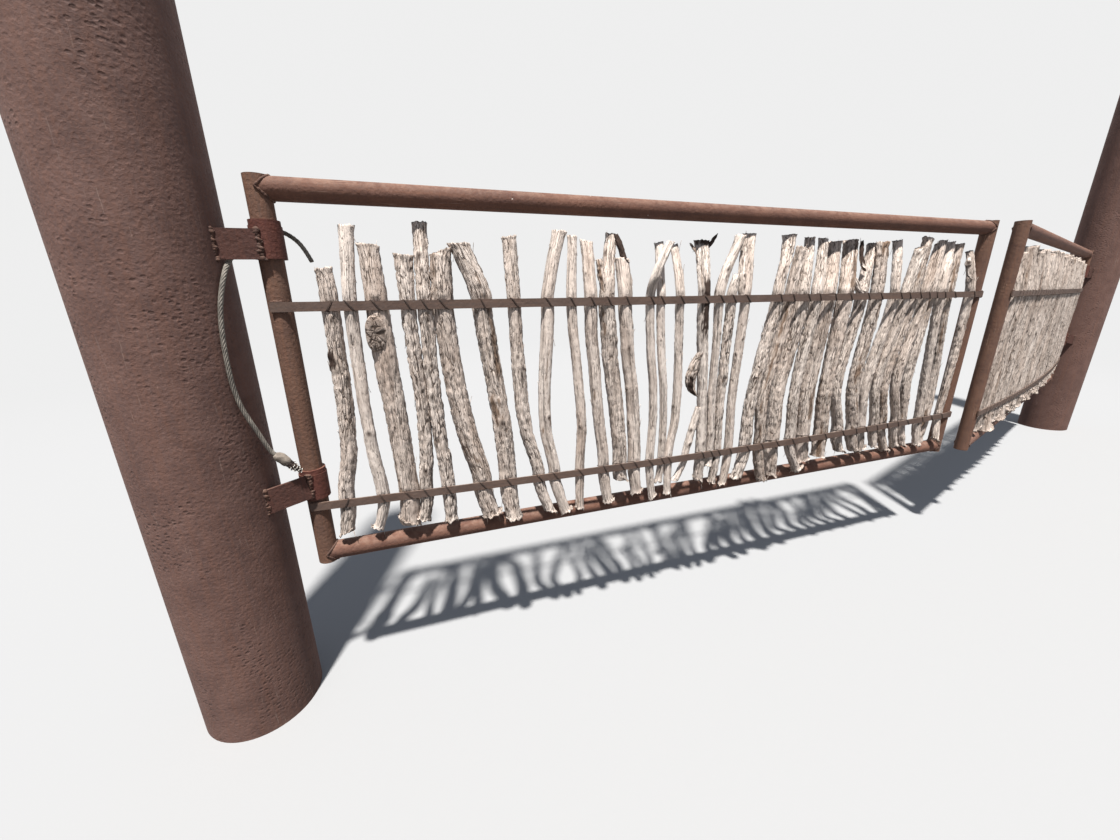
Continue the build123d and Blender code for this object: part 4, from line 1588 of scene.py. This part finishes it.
def tie_loop(middle, width, front, tilt, shift):
    """One turn of wire as (along, depth, up) from the place where branch and bar cross."""
    lean, side, back = lean_over_bar * tilt, width / 2 + 0.002, middle + 0.45 * width + 0.003
    loop = np.array([
        (-lean + shift, front, 0.0165), (shift, front - 0.0006, 0.0),
        (lean + shift, front, -0.0165), (lean + shift + 0.004, front + 0.006, -0.0185),
        (side, middle - 0.008, -0.012), (side * 0.98, middle + 0.008, -0.008),
        (side * 0.6, back - 0.003, -0.004), (0, back, 0), (-side * 0.6, back - 0.003, 0.004),
        (-side * 0.98, middle + 0.008, 0.008), (-side, middle - 0.008, 0.012),
        (-lean + shift - 0.004, front + 0.006, 0.0185),
    ])
    loop[:, 1] = np.minimum(loop[:, 1], back)
    return loop


for leaf, seed in (("near", 7), ("far", 8)):
    dice = np.random.default_rng(seed)
    for label, bar in (("upper", upper_bar), ("lower", lower_bar)):
        wires = Skins()
        for number, rings in enumerate(tied[leaf]):
            known = [ring[0] for ring in rings]
            place, middle, width = (float(np.interp(bar, known, [ring[i] for ring in rings]))
                                    for i in (1, 2, 3))
            # The near leaf's first branch is tied the other way round
            tilt = dice.uniform(0.7, 1.3) * (-1 if (leaf, number) == ("near", 0) else 1)
            front = float(behind_bar(place)) - bar_thickness - wire_gap
            for turn_number in range(wire_turns):
                loop = tie_loop(middle, width, front, tilt, (turn_number - 0.5) * turn_gap)
                line = along_path(loop + [place, 0, bar], 0.008, closed=True)
                world = on_leaf(leaf, line[:, 0], line[:, 1], line[:, 2])
                wires.add(tube(world, tie_radius, 6, closed=True), closed=True)
        piece = wires.finish(f"{leaf}_{label}_ties", tie_wire)
        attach(piece, f"{leaf}_leaf")

# %% [markdown]
# ## Floor
#
# The gate stands on a plain pale floor that fades into an equally pale background, so that its
# edge is never seen. Its paleness is only for the eye. Light that bounces off it finds a dark
# floor, or the undersides of the rails and bars would be lit as if they hung over white paper.

# %% Floor
pale, floor_seen, floor_lit = (0.86, 0.86, 0.86), (0.350, 0.358, 0.372), (0.07, 0.061, 0.053)
floor_middle, floor_radius, floor_points = 3.9, 60, 64
fade_start, fade_end = 5.5, 13

floor_material, tree, shader = new_material("floor")
make = NodeMaker(tree)
make.join(make.mix(make.looked_at(), floor_lit, floor_seen), shader.inputs["Base Color"])
make.join(0.9, shader.inputs["Roughness"])
make.join(0.1, shader.inputs["Specular IOR Level"])
backdrop = make.node("ShaderNodeEmission")
backdrop.inputs["Color"].default_value = (*pale, 1)
centred = make.node("ShaderNodeVectorMath", operation="SUBTRACT")
make.join(make.position(), centred.inputs[0])
centred.inputs[1].default_value = (floor_middle, 0, 0)
far_off = make.node("ShaderNodeVectorMath", operation="LENGTH")
make.join(centred.outputs[0], far_off.inputs[0])
blend = make.node("ShaderNodeMixShader")
make.join(make.ramp(far_off.outputs["Value"], fade_start, fade_end), blend.inputs[0])
make.join(shader.outputs[0], blend.inputs[1])
make.join(backdrop.outputs[0], blend.inputs[2])
make.join(blend.outputs[0], tree.nodes["Material Output"].inputs[0])

turns = np.linspace(0, 2 * math.pi, floor_points, endpoint=False)
edge = [(floor_middle + floor_radius * math.cos(t), floor_radius * math.sin(t), 0) for t in turns]
floor = make_object("floor", edge, [tuple(range(floor_points))], floor_material, smooth=False)
print("floor:", floor_radius, "m round the middle of the gate")

# %% [markdown]
# ## Light
#
# One sun, high and from the front left, throws the top rail's shadow onto the heads that lean
# back. Lamps all round would soften that shadow away. The rest is a faint bluish light from every
# side: the world shows a plain pale colour to the eye and gives only that light to the gate.

# %% World and sun
fill_colour, fill_strength = (0.78, 0.86, 1.0), 0.34
world = bpy.data.worlds.new("studio")
scene.world = world
world.use_nodes = True
tree = world.node_tree
tree.nodes.clear()
make = NodeMaker(tree)
seen = make.node("ShaderNodeBackground")
seen.inputs["Color"].default_value = (*pale, 1)
light = make.node("ShaderNodeBackground")
light.inputs["Color"].default_value = (*fill_colour, 1)
light.inputs["Strength"].default_value = fill_strength
pick = make.node("ShaderNodeMixShader")
make.join(make.looked_at(), pick.inputs[0])
make.join(light.outputs[0], pick.inputs[1])
make.join(seen.outputs[0], pick.inputs[2])
world_output = make.node("ShaderNodeOutputWorld")
make.join(pick.outputs[0], world_output.inputs[0])

toward_sun = Vector((-0.157, -0.296, 0.94))
sun_light = bpy.data.lights.new("key", "SUN")
sun_light.energy = 7.5
sun_light.angle = math.radians(3)
sun_light.color = (1.0, 0.96, 0.90)
sun = bpy.data.objects.new("key", sun_light)
sun.rotation_euler = toward_sun.to_track_quat("Z", "Y").to_euler()
scene.collection.objects.link(sun)
scene.view_settings.view_transform = "Standard"
print("sun:", round(math.degrees(math.asin(toward_sun.normalized().z))), "degrees high")

# %% [markdown] ## Size, and finish Wood, rust and wires dress the frame and must not make the gate larger.
